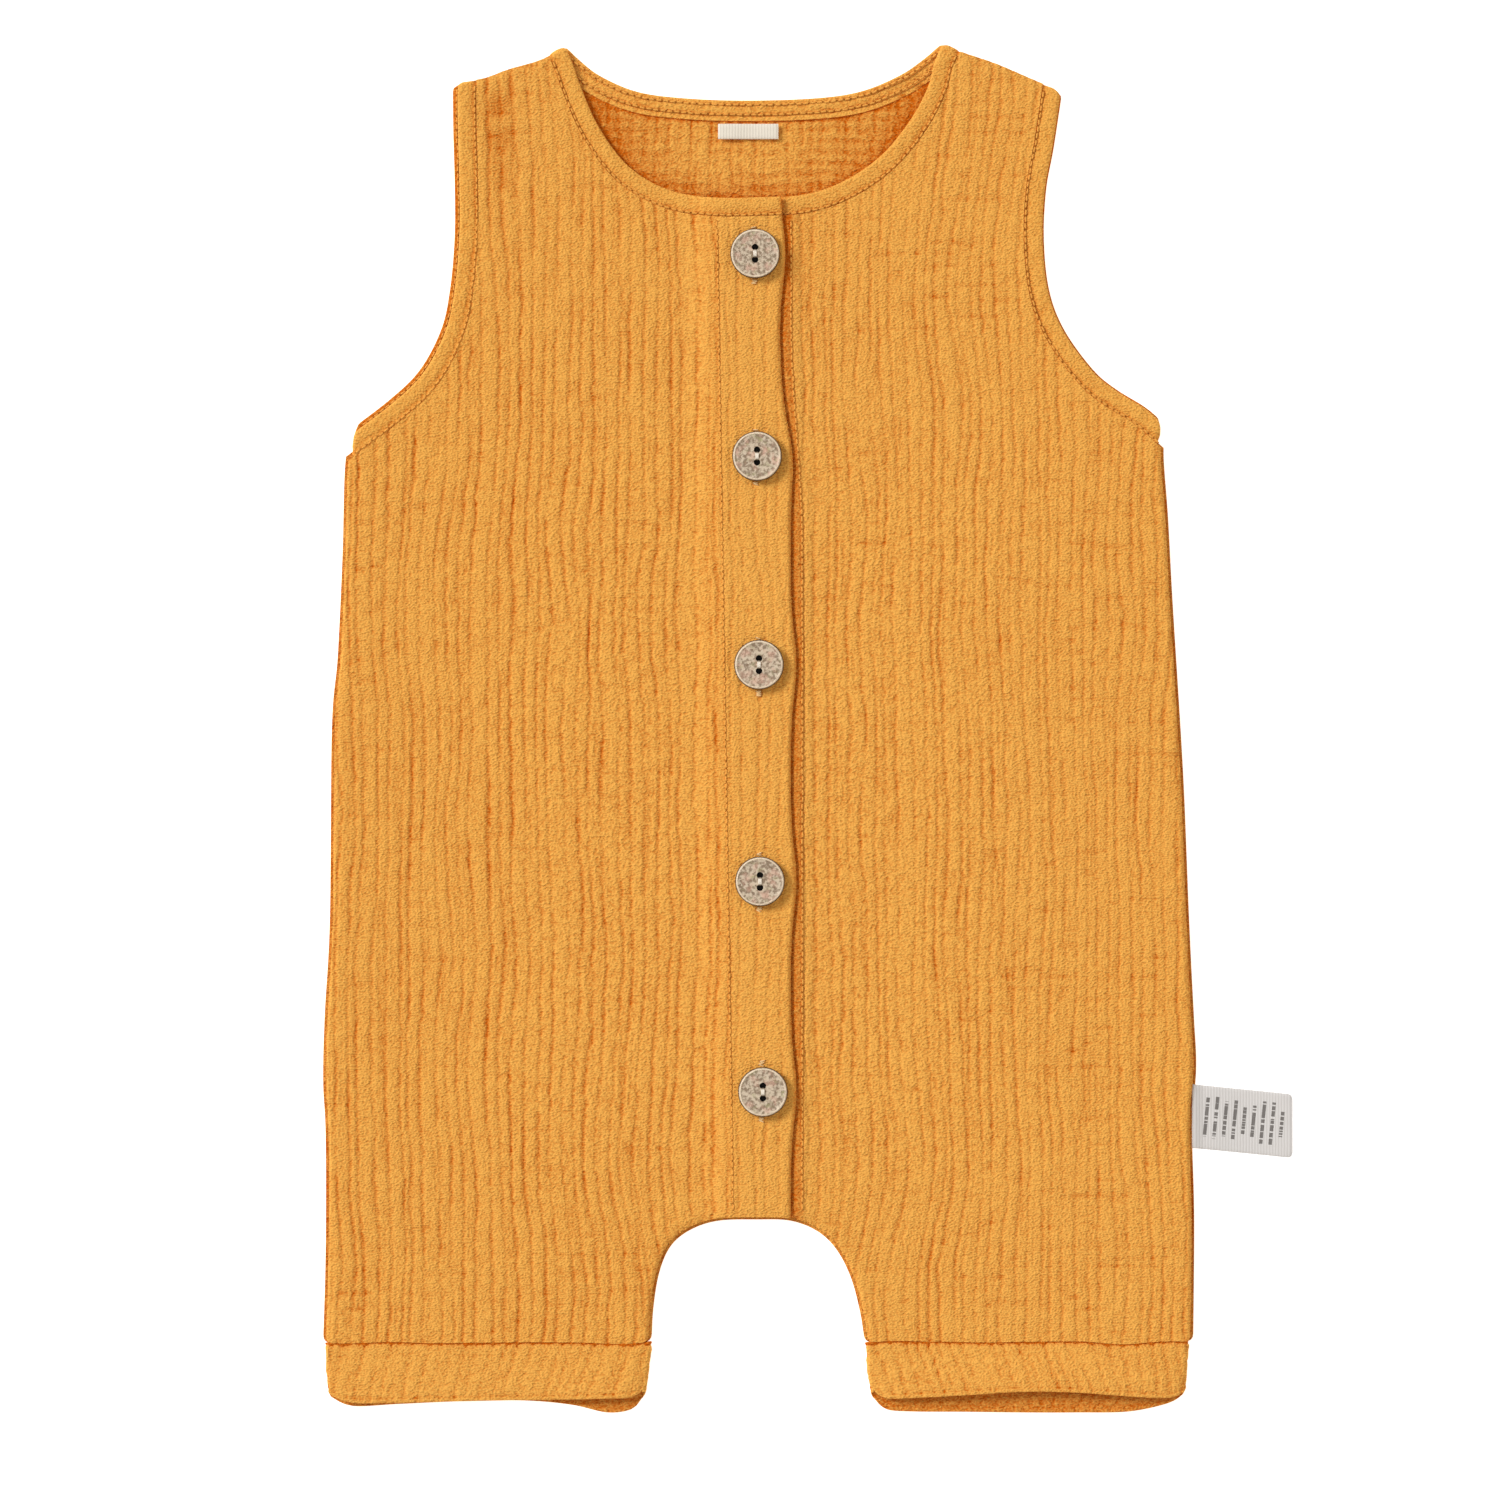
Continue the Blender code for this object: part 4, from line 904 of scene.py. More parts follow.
def make_front(side, pattern, lines, material):
    """A front: crinkled outside, plain inside, its free edges rolled over."""
    floor = lap_floor if side == "right" else front_floor
    flank = lines[side + "_side"]
    inner_edge = lines["free_edge" if side == "right" else "hidden_edge"]
    free = [
        shifted(flank, FRONT_SET_IN), shifted(lines["inseam"], FRONT_SET_IN),
        lines[side + "_shoulder"],
    ]

    def depth_at(x, y):
        depth = front_relief(x, y, side)
        if side == "right":
            from_side = beside(x, y, flank) - FRONT_SET_IN
            depth = depth + SIDE_ROLL_DEPTH * np.exp(-((from_side - SIDE_ROLL) / SIDE_ROLL_WIDTH) ** 2)
        return depth

    def top(x, y):
        edge = rounded(nearest(x, y, free)) * rounded(beside(x, y, inner_edge), LAP_ROUND, LAP_BASE)
        hem = rounded(beside(x, y, lines[side + "_hem"]), HEM_ROUND, HEM_BASE)
        return floor(x, y) + np.maximum(FRONT_WALL - depth_at(x, y), LEAST_WALL) * edge * hem

    if side == "right":
        reach = (-CLOTH_HALF_WIDTH, CLOTH_PAST_CENTRE)
    else:
        reach = (-CLOTH_PAST_CENTRE, CLOTH_HALF_WIDTH)
    levels = cloth_levels()
    upper = surface(stops(*reach, FINE_CELL[0]), stops(*levels, FINE_CELL[1]), top)
    lower = surface(stops(*reach, PLAIN_CELL), stops(*levels, PLAIN_CELL), floor)
    piece = block(f"front_{side}_cloth", upper, lower)
    carved(piece, prism("pattern", pattern, *CUTTER_REACH), "INTERSECT")
    x, y, z = points_of(piece)
    # painted shade on the low flanks of the edges, more at the right front's free edge, and in the
    # troughs
    low = z < floor(x, y) + EDGE_DEPTH
    at_lap = beside(x, y, inner_edge) < LAP_FLANK
    flank_painted_shade = low * np.where(at_lap, LAP_FLANK_PAINTED_SHADE, EDGE_PAINTED_SHADE)
    mark(piece, "trough", np.maximum(front_painted_shade(x, y, side), flank_painted_shade))
    return finished(piece, material, f"front_{side}")


def waffle(x, y):
    """The depth of the soft rows that cross the ribs where the back shows in the neck."""
    row = y + WAFFLE_SWAY[0] * noise(x / WAFFLE_SWAY[1], 5.5)
    row = row + WAFFLE_KINK[0] * noise(x / WAFFLE_KINK[1], 9.1)
    patchy = noise(x / WAFFLE_PATCH[0], row / WAFFLE_PATCH[1])
    strength = np.clip(WAFFLE_STRENGTH[0] + WAFFLE_STRENGTH[1] * patchy, 0.2, 1.0)
    return WAFFLE_DEPTH * strength * even_wave(row, WAFFLE_PITCH)


BACK_SEED = 77
BACK_PITCH = 3.5
BACK_CREASES = 0.85           # how strong its creases are
NECK_PULL = (0.9, 4.0)        # how much stronger at the neck's seam, and how far that reaches
BACK_RELIEF = 0.75            # the share of the relief on its inner side
BACK_LEAST = 0.6              # the least wall under that
UNDER_RELIEF = 0.3            # the share of the relief on its underside
UNDER_CREST = 0.15            # where the relief is shallower it rests on the surface,
UNDER_EDGE = (1.0, 4.0)       # as it does along its edge
INSIDE_LEVEL = 0.35           # what lies above this is its inner side
BACK_PAINTED_SHADE = 0.85              # the share of the fronts' painted shade in the troughs that it has
INSIDE_PAINTED_SHADE = 0.1             # painted shade inside it, where it shows in the neck,
SEAM_PAINTED_SHADOW = (0.55, 0.9)       # a painted shadow beside the binding's roll, and how far from it,
UNDER_FRONT_PAINTED_SHADOW = (0.5, 3.0)    # a painted shadow beside the front's neck, and how far from it,
SHOULDER_PAINTED_SHADE = 0.25          # and painted shade at the shoulders


def make_back(pattern, lines, material):
    """The back: its crests rest on the surface, and its other side shows in the neck."""
    closed = [*pattern, pattern[0]]
    neck_seam = shifted(lines["back_neck"], BACK_NECK_WIDTH + SEAM_GAP)

    def relief(x, y):
        pulled = 1 + NECK_PULL[0] * np.exp(-beside(x, y, neck_seam) / NECK_PULL[1])
        creases = BACK_CREASES * pulled * upright_creases(x, y, BACK_SEED, BACK_PITCH)
        lumps = bumps(x, y, LUMP_SIZE, LUMP_HEIGHT, BACK_SEED)
        return np.clip(creases + waffle(x, y) + lumps, 0.0, 1.0)

    def top(x, y):
        wall = np.maximum(BACK_WALL - BACK_RELIEF * relief(x, y), BACK_LEAST)
        return wall * rounded(beside(x, y, closed))

    def underside(x, y):
        off_edge = eased(beside(x, y, closed), *UNDER_EDGE)
        return UNDER_RELIEF * off_edge * np.clip(relief(x, y) - UNDER_CREST, 0.0, 1.0)

    reach = (-CLOTH_HALF_WIDTH, CLOTH_HALF_WIDTH)
    levels = cloth_levels()
    window_x, window_y = NECK_WINDOW
    upper = surface(
        graded(reach, window_x, NECK_CELL[0], PLAIN_CELL),
        graded(levels, window_y, NECK_CELL[1], PLAIN_CELL), top,
    )
    lower = surface(stops(*reach, BACK_CELL[0]), stops(*levels, BACK_CELL[1]), underside)
    piece = block("back_cloth", upper, lower)
    carved(piece, prism("pattern", pattern, *CUTTER_REACH), "INTERSECT")
    x, y, z = points_of(piece)
    # Painted shade: deeper inside the neck, a painted shadow beside the binding's roll and beside the
    # front's neck edge, and more toward the shoulders.
    inside = (z > INSIDE_LEVEL) * 1.0
    by_binding = np.exp(-(beside(x, y, neck_seam) / SEAM_PAINTED_SHADOW[1]) ** 2)
    by_front = np.exp(-beside(x, y, lines["front_neck"]) / UNDER_FRONT_PAINTED_SHADOW[1])
    deeper = INSIDE_PAINTED_SHADE + SEAM_PAINTED_SHADOW[0] * by_binding + UNDER_FRONT_PAINTED_SHADOW[0] * by_front
    deeper = deeper + SHOULDER_PAINTED_SHADE * eased(np.abs(x), *NECK_SHADE)
    tint = BACK_PAINTED_SHADE * painted_shade_at(relief(x, y)) + inside * deeper
    mark(piece, "trough", np.clip(tint, 0, 1))
    return finished(piece, material, "back_body")


# ---- Strips: bindings and cuffs ----

FOLD_STEPS = 10
FOLD_BULGE = 1.9           # how far a fold stands out past the sections that it joins
SHOULDER_TUCK = {"neck": 1.0, "armhole": 1.3}   # how far below the shoulder line they end

# One cross-section of a strip. The inner side faces the other layer of the garment.
Section = namedtuple("Section", "edge_inner edge_outer seam_outer seam_inner")


def front_section(edge, seam, floor, wall, lift=0.0):
    """A section of a strip on a front. lift raises its free edge."""
    edge_floor = float(floor(*edge)) + lift
    seam_floor = float(floor(*seam))
    return Section(
        Vector((*edge, edge_floor)), Vector((*edge, edge_floor + wall)),
        Vector((*seam, seam_floor + wall)), Vector((*seam, seam_floor)),
    )


def back_section(edge, seam, wall):
    """A section of a strip on the back, which lies on the surface."""
    return Section(
        Vector((*edge, wall)), Vector((*edge, 0.0)),
        Vector((*seam, 0.0)), Vector((*seam, wall)),
    )


def heading(sections):
    """The direction in which a strip's seam reaches its last section."""
    return (sections[-1].seam_inner - sections[-2].seam_inner).to_2d().normalized()


def drawn_in(radius, distance):
    """How far a round corner draws an edge in at a distance from its end."""
    short = max(radius - distance, 0.0)
    return radius - (radius ** 2 - short ** 2) ** 0.5


def fold(front, back, corner):
    """The sections where a strip turns down from the end of its front to the end of its back.

    corner is the radius of the corner that its free edge makes there."""
    first, last = front[-1], back[-1]
    outward = (heading(front) + heading(back)).normalized()
    turned = []
    for k in range(1, FOLD_STEPS):
        angle = pi * k / FOLD_STEPS
        corners = {}
        for line in ("edge", "seam"):
            above = getattr(first, line + "_inner")
            below = getattr(last, line + "_inner")
            axis_z = (above.z + below.z) / 2
            flat = above.lerp(below, min(1.0, 2 * k / FOLD_STEPS))
            for face in ("inner", "outer"):
                front_reach = getattr(first, f"{line}_{face}").z - axis_z
                back_reach = axis_z - getattr(last, f"{line}_{face}").z
                reach = front_reach + (back_reach - front_reach) * k / FOLD_STEPS
                corners[f"{line}_{face}"] = Vector((
                    flat.x + outward[0] * reach * sin(angle),
                    flat.y + outward[1] * reach * sin(angle),
                    axis_z + reach * cos(angle),
                ))
        inward = drawn_in(corner, FOLD_BULGE * (1 - sin(angle))) - drawn_in(corner, FOLD_BULGE)
        for face in ("inner", "outer"):
            edge, seam = corners["edge_" + face], corners["seam_" + face]
            corners["edge_" + face] = edge.lerp(seam, inward / (seam - edge).length)
        turned.append(Section(**corners))
    return turned


def ring(fronts, backs, corner):
    """A closed run of sections over the front, down a fold, back over the back and up."""
    down = fold(fronts, backs[::-1], corner)
    up = fold(fronts[::-1], backs, corner)[::-1]
    return [*fronts, *down, *backs, *up]


def strip_pairs(edge, width, start_cut, end_cut):
    """Matching points on a strip's free edge and its seam."""
    free = between(edge, start_cut, end_cut)
    count = max(8, round(sum(length_of(a, b) for a, b in zip(free, free[1:])) / STRIP_STEP))
    sewn = between(shifted(edge, width), start_cut, end_cut)
    return list(zip(spaced(free, count), spaced(sewn, count)))


def with_corners(pairs, start, end):
    """The pairs with their free edge drawn in at each end by a corner's radius."""
    frees = [pair[0] for pair in pairs]
    lengths = np.cumsum([0.0] + [length_of(a, b) for a, b in zip(frees, frees[1:])])
    moved = []
    for (free, sewn_place), run in zip(pairs, lengths):
        inward = drawn_in(start, run + FOLD_BULGE) + drawn_in(end, lengths[-1] - run + FOLD_BULGE)
        moved.append((along(free, sewn_place, inward / length_of(free, sewn_place)), sewn_place))
    return moved


STRIP_STEP = 0.8
STRIP_ENDS = (0.0, 0.12, 0.42, 0.85)   # of the points round the strip's two edges
STRIP_ROUND = 1.25
STRIP_FILL = 1.35                      # the even points lie between these distances
SEAM_ROUND = 0.12                      # a binding is flat up to its seam
CORNER_ROUND = {"armhole": 3.0, "neck": 2.2, "cuff": 2.4}


def strip(name, sections, closed, middle, relief, inner_tint=0.0, seam_round=STRIP_ROUND):
    """A strip of folded cloth through its sections, with rounded edges.

    relief gives the depth of the surface from the distance along the strip, the distances
    from its seam and its free edge, and the side: 1 outside and -1 inside. inner_tint is
    the painted shade on the inside. seam_round is the roundness along its seam."""
    corners = np.array([[tuple(corner) for corner in section] for section in sections])
    edge_inner, edge_outer, seam_outer, seam_inner = corners.transpose(1, 0, 2)
    edge, seam = (edge_inner + edge_outer) / 2, (seam_inner + seam_outer) / 2
    edge_up, seam_up = (edge_outer - edge_inner) / 2, (seam_outer - seam_inner) / 2
    width = np.linalg.norm(edge - seam, axis=1)[:, None]
    steps = np.linalg.norm(np.diff((edge + seam) / 2, axis=0), axis=1)
    run = np.concatenate(([0.0], np.cumsum(steps)))[:, None]
    near = np.array(STRIP_ENDS)[None, :]
    inside = STRIP_FILL + (width - 2 * STRIP_FILL) * np.linspace(0, 1, middle)[None, :]
    distance = np.hstack((np.repeat(near, len(width), 0), inside, width - near[:, ::-1]))
    around = np.hstack((distance, distance[:, -2:0:-1]))
    side = np.ones(around.shape)
    side[:, distance.shape[1]:] = -1
    to_end = np.minimum(around / seam_round, (width - around) / STRIP_ROUND)
    swell = np.sqrt(1 - (1 - np.clip(to_end, 0, 1)) ** 2)
    if not closed:
        end_gap = np.minimum(run, run[-1] - run)
        swell = swell * np.sqrt(1 - (1 - np.clip(0.1 + end_gap / STRIP_ROUND, 0, 1)) ** 2)
    share = (around / width)[:, :, None]
    middle_line = seam[:, None] * (1 - share) + edge[:, None] * share
    up = seam_up[:, None] * (1 - share) + edge_up[:, None] * share
    up_length = np.linalg.norm(up, axis=2, keepdims=True)
    depth = relief(run + 0 * around, around, width - around, side) * swell
    lifted = side[:, :, None] * (swell[:, :, None] * up - depth[:, :, None] * up / up_length)
    points = middle_line + lifted
    numbers = numbered(points, 0)
    if closed:
        numbers = np.vstack((numbers, numbers[:1]))
    numbers = np.hstack((numbers, numbers[:, :1]))
    faces = quads(numbers)
    if not closed:
        faces += [numbers[0, :-1].tolist(), numbers[-1, :-1].tolist()]
    piece = new_object(name, points.reshape(-1, 3), faces)
    facing_out(piece)
    # painted shade: in the relief's troughs, on the inner side and where an edge turns under
    tint = STRIP_PAINTED_SHADE * painted_shade_at(depth) + inner_tint * (side < 0) + STRIP_EDGE_PAINTED_SHADE * (1 - swell) ** 2
    mark(piece, "trough", np.clip(tint, 0, 1).reshape(-1))
    return piece


def facing_out(piece):
    """Turn all of a closed piece's faces outward."""
    build = bmesh.new()
    build.from_mesh(piece.data)
    bmesh.ops.recalc_face_normals(build, faces=build.faces)
    build.to_mesh(piece.data)
    build.free()


BINDING_POINTS = 9            # across each side of a binding
BINDING_ROLL = 0.25           # how much lower a binding is at its seam than at its middle
ROLL_WIDTH = (3.4, 0.4)       # it falls between these distances from its seam
BINDING_FURROW = 0.8          # the share of a furrow on it, in front
BACK_FURROW = 0.9             # and behind
BACK_FOLD = (0.3, 0.5, 0.4)   # the depth, place past the last row and width of its fold
PRESSED_SOFT = ((2.6, 2.2), 0.24)   # the size and depth of a pressed strip's unevenness
PRESSED_FINE = ((0.9, 1.6), 0.3)


def rolled(from_seam):
    """How far a binding has rolled down at a distance from its seam."""
    return BINDING_ROLL * eased(from_seam, *ROLL_WIDTH)


def pressed(run, from_edge, seed):
    """The soft unevenness of a pressed strip."""
    return bumps(run, from_edge, *PRESSED_SOFT, seed) + bumps(run, from_edge, *PRESSED_FINE, seed + 9)


def armhole_relief(seed):
    """The relief of an armhole's binding: pressed, rolled down at its seam, one row of stitches."""
    def relief(run, from_seam, from_edge, _):
        row = furrow(np.abs(from_edge - BINDING_ROW), run)
        return pressed(run, from_edge, seed) + rolled(from_seam) + BINDING_FURROW * row
    return relief


def neck_relief(run, from_seam, from_edge, side):
    """The relief of the neck binding: one row of stitches in front, two and a roll behind."""
    row = furrow(np.abs(from_seam - STITCH_INSET - SEAM_LAP), run)
    outside = BINDING_FURROW * row + rolled(from_seam)
    depth, place, width = BACK_FOLD
    behind = sum(furrow(np.abs(from_edge - inset), run) for inset in BACK_ROWS)
    behind = behind + depth * np.exp(-((from_edge - BACK_ROWS[1] - place) / width) ** 2)
    return pressed(run, from_edge, 5) + np.where(side > 0, outside, BACK_FURROW * behind)


LAP_END = 0.4                 # the rolled end of the binding on the lap is this wide
LAP_END_REACH = 2.5           # and a painted shadow reaches this far past it
LAP_END_PAINTED_SHADOW = 0.8
NECK_FRONT_DROP = 15.0        # it is in front only this far below the middle of the back's neck
NECK_RISE_ENDS = (0.35, 0.8)  # the back rises between these heights of a half wave along it


def make_neck_binding(lines, material):
    """One strip round the neck, from the free edge over both shoulders to the hidden edge."""
    right_cut = shifted(lines["right_shoulder"], SHOULDER_TUCK["neck"])
    left_cut = shifted(lines["left_shoulder"], SHOULDER_TUCK["neck"])
    front_neck, back_neck = lines["front_neck"], lines["back_neck"]
    width = BINDING_WIDTH + SEAM_LAP
    corner = CORNER_ROUND["neck"]
    right = with_corners(strip_pairs(front_neck, width, lines["free_edge"], right_cut), 0, corner)
    left = with_corners(strip_pairs(front_neck, width, left_cut, lines["hidden_edge"]), corner, 0)
    back = strip_pairs(back_neck, BACK_NECK_WIDTH + SEAM_LAP, left_cut, right_cut)[::-1]
    back = with_corners(back, corner, corner)
    over = [front_section(*pair, lap_floor, BINDING_WALL) for pair in right]
    behind = []
    for k, pair in enumerate(back):
        rise = BACK_NECK_RISE * float(eased(sin(pi * k / (len(back) - 1)), *NECK_RISE_ENDS))
        behind.append(back_section(*pair, BACK_WALL + rise))
    under = [front_section(*pair, front_floor, BINDING_WALL) for pair in left]
    sections = [
        *over, *fold(over, behind[::-1], corner),
        *behind, *fold(under[::-1], behind, corner)[::-1],
        *under,
    ]
    piece = strip("neck_binding_cloth", sections, False, BINDING_POINTS, neck_relief, 0.0, SEAM_ROUND)
    x, y = points_of(piece)[:2]
    # a painted shadow of the lap's end on the neck binding, in front
    past_lap = x - float(free_edge(BAND_TOP)) + LAP_END
    in_front = (past_lap > 0) * (y < BACK_NECK[5].y - NECK_FRONT_DROP)
    deepen_painted_shade(piece, LAP_END_PAINTED_SHADOW * in_front * np.exp(-np.clip(past_lap, 0.0, None) / LAP_END_REACH))
    return finished(piece, material, "neck_binding")


ARMHOLE_SEED = {"right": 12, "left": 24}
# painted shade on the inner side of an armhole's binding
ARMHOLE_INNER_PAINTED_SHADE = 0.75


def make_armhole_binding(side, lines, material):
    """The strip round one armhole, which turns over at the shoulder and under the arm."""
    armhole = lines[side + "_armhole"]
    shoulder = shifted(lines[side + "_shoulder"], SHOULDER_TUCK["armhole"])
    flank = shifted(lines[side + "_side"], BINDING_WALL + FRONT_SET_IN)
    cuts = (shoulder, flank)
    corner = CORNER_ROUND["armhole"]
    if side == "left":
        cuts = cuts[::-1]
    width = BINDING_WIDTH + SEAM_LAP
    front_edge = shifted(armhole, ARMHOLE_SET_IN[side])
    above = with_corners(strip_pairs(front_edge, width, *cuts), corner, corner)
    below = with_corners(strip_pairs(armhole, width, *cuts), corner, corner)
    fronts = [front_section(*pair, front_floor, BINDING_WALL) for pair in above]
    backs = [back_section(*pair, BACK_WALL) for pair in reversed(below)]
    relief = armhole_relief(ARMHOLE_SEED[side])
    name = f"armhole_binding_{side}_cloth"
    sections = ring(fronts, backs, corner)
    piece = strip(name, sections, True, BINDING_POINTS, relief, ARMHOLE_INNER_PAINTED_SHADE, SEAM_ROUND)
    return finished(piece, material, f"armhole_binding_{side}")


CUFF_SEED = {"right": 60, "left": 90}
CUFF_POINTS = 19              # across each side of it
# painted shade on the inner side of a cuff
CUFF_INNER_PAINTED_SHADE = 0.45
CUFF_CREASES = 0.95           # how strong its creases are
CUFF_GATHERS = (0.5, 5.0)     # how much stronger at its seam, and how far that reaches
CUFF_LEAN = 0.25              # how far they lean along it for each unit from its seam
CUFF_LIP = (0.3, 1.5, 0.5)    # the depth, place from its free edge and width of its fold
CUFF_TUCK_WIDTH = 0.9
CUFF_PINCHED = 0.8


def make_cuff(side, material):
    """A cuff: a flattened tube of turned cloth below the leg's seam."""
    table = sorted(CUFFS[side])
    xs = [row.x for row in table]
    middle = (xs[0] + xs[-1]) / 2
    places = stops(xs[0], xs[-1], STRIP_STEP)
    if side == "left":
        places = places[::-1]
    curves = {}
    for column in ("front", "back", "gape"):
        line = smooth_line([Point(row.x, getattr(row, column)) for row in table])
        curves[column] = np.interp(places, *np.array(line).T)
    fronts, backs = [], []
    for k, x in enumerate(places):
        seam_x = middle + (x - middle) * CUFF_FLARE + CUFF_SHIFT[side]
        seam = Point(seam_x, HEM_LEVEL - SEAM_GAP + SEAM_LAP + float(hem_wave(seam_x)))
        front, back, gape = (float(curves[column][k]) for column in ("front", "back", "gape"))
        inward = drawn_in(CORNER_ROUND["cuff"], min(x - xs[0], xs[-1] - x) + FOLD_BULGE)
        front, back = front + inward, back + inward + BACK_TUCK
        fronts.append(front_section(Point(x, front), seam, front_floor, CUFF_WALL, gape))
        backs.append(back_section(Point(x, back), seam, BACK_WALL))
    backs.reverse()

    seed = CUFF_SEED[side]

    def relief(run, from_seam, from_edge, _):
        gathers = CUFF_GATHERS[0] * np.exp(-from_seam / CUFF_GATHERS[1]) + CUFF_CREASES
        creases = upright_creases(run + CUFF_LEAN * from_seam, from_seam, seed)
        soft = bumps(run, from_seam, PUFF_SIZE, PUFF_HEIGHT, seed)
        lumps = bumps(run, from_seam, LUMP_SIZE, LUMP_HEIGHT, seed)
        lip = CUFF_LIP[0] * np.exp(-((from_edge - CUFF_LIP[1]) / CUFF_LIP[2]) ** 2)
        tuck = CUFF_TUCK * np.exp(-(from_seam / CUFF_TUCK_WIDTH) ** 2)
        pinched = CUFF_PINCHED * pinches(run, from_seam, 5)
        return gathers * creases + soft + lumps + lip + tuck + pinched

    sections = ring(fronts, backs, CORNER_ROUND["cuff"])
    piece = strip(f"leg_cuff_{side}_cloth", sections, True, CUFF_POINTS, relief, CUFF_INNER_PAINTED_SHADE)
    return finished(piece, material, f"leg_cuff_{side}")


# ---- Sewing ----

THREAD_SIDES = 6
STITCH_RINGS = (-1.0, -0.8, -0.5, 0.0, 0.5, 0.8, 1.0)
STITCH_TAPER = 0.3            # the share of its radius that a stitch loses at its ends
STITCH_DIVE = 1.6             # how far its ends lie below its middle, as a share of its rise


def stitch_shape(length, radius, rise):
    """One stitch along X: it stands up in its middle and dives into the cloth at both ends."""
    rings = []
    for share in STITCH_RINGS:
        thick = radius * (1 - STITCH_TAPER * share ** 4)
        height = rise * (1 - STITCH_DIVE * share * share)
        for k in range(THREAD_SIDES):
            angle = 2 * pi * (k + 0.5) / THREAD_SIDES
            rings.append((share * length / 2, thick * cos(angle), height + thick * sin(angle)))
    return np.array(rings)


def sewn(name, places, length, radius, rise, material):
    """Copies of one stitch, as one mesh. A place is x, y, z and its direction on the flat."""
    shape = stitch_shape(length, radius, rise)
    places = np.array(places)
    turn_x, turn_y = np.cos(places[:, 3])[:, None], np.sin(places[:, 3])[:, None]
    x = places[:, 0:1] + shape[:, 0] * turn_x - shape[:, 1] * turn_y
    y = places[:, 1:2] + shape[:, 0] * turn_y + shape[:, 1] * turn_x
    z = places[:, 2:3] + shape[:, 2]
    points = np.dstack((x, y, z)).reshape(-1, 3)
    one = np.arange(len(shape)).reshape(len(STITCH_RINGS), THREAD_SIDES)
    wrapped = np.hstack((one, one[:, :1]))[:, ::-1]
    faces = []
    for k in range(len(places)):
        first = k * len(shape)
        faces += quads(wrapped + first)
        faces += [(one[0] + first).tolist(), (one[-1][::-1] + first).tolist()]
    piece = new_object(name, points, faces)
    facing_out(piece)
    # 1 at the ends of each stitch, where the thread's material paints shade in the needle holes
    sunk = np.tile(np.repeat(np.abs(STITCH_RINGS), THREAD_SIDES), len(places))
    mark(piece, "sunk", sunk)
    return finished(piece, material)


UNEVEN = np.random.default_rng(7)
STITCH_STRAY = 0.1            # how far a stitch strays along and across its row
STITCH_SKEW = 0.1             # and how far it turns


def along_row(line, height):
    """The places of a row of stitches on a line. height gives the level of the cloth there."""
    x, y, lengths = measured(line)
    middles = np.arange(STITCH_PITCH / 2, lengths[-1] - STITCH_PITCH / 3, STITCH_PITCH)
    middles = middles + UNEVEN.uniform(-STITCH_STRAY, STITCH_STRAY, len(middles))
    at_x, at_y = np.interp(middles, lengths, x), np.interp(middles, lengths, y)
    ahead_x = np.interp(middles + 0.5, lengths, x) - np.interp(middles - 0.5, lengths, x)
    ahead_y = np.interp(middles + 0.5, lengths, y) - np.interp(middles - 0.5, lengths, y)
    turn = np.arctan2(ahead_y, ahead_x)
    stray = UNEVEN.uniform(-STITCH_STRAY, STITCH_STRAY, len(middles))
    at_x, at_y = at_x - stray * np.sin(turn), at_y + stray * np.cos(turn)
    turn = turn + UNEVEN.uniform(-STITCH_SKEW, STITCH_SKEW, len(middles))
    return np.column_stack((at_x, at_y, height(at_x, at_y), turn))


ROW_ENDS = {"shoulder": 1.5, "flank": 0.8}   # how far inside the cloth's edge a row ends
BINDING_SINK = 0.14           # how far a thread sinks below the bottom of its furrow
BAND_SINK = 0.25
LEFT_BAND_SINK = 0.15
INSIDE_SINK = 0.1
ROLL_AT_ROW = 0.8             # the share of the binding's roll that is there at its row
INSIDE_ROW = (1.2, 4.0)       # of the row inside the back from the armhole and from the side
BAND_ROW_ENDS = (4.5, 1.5)    # how far inside the band's top and bottom its rows end
BAND_STEP = 2.0


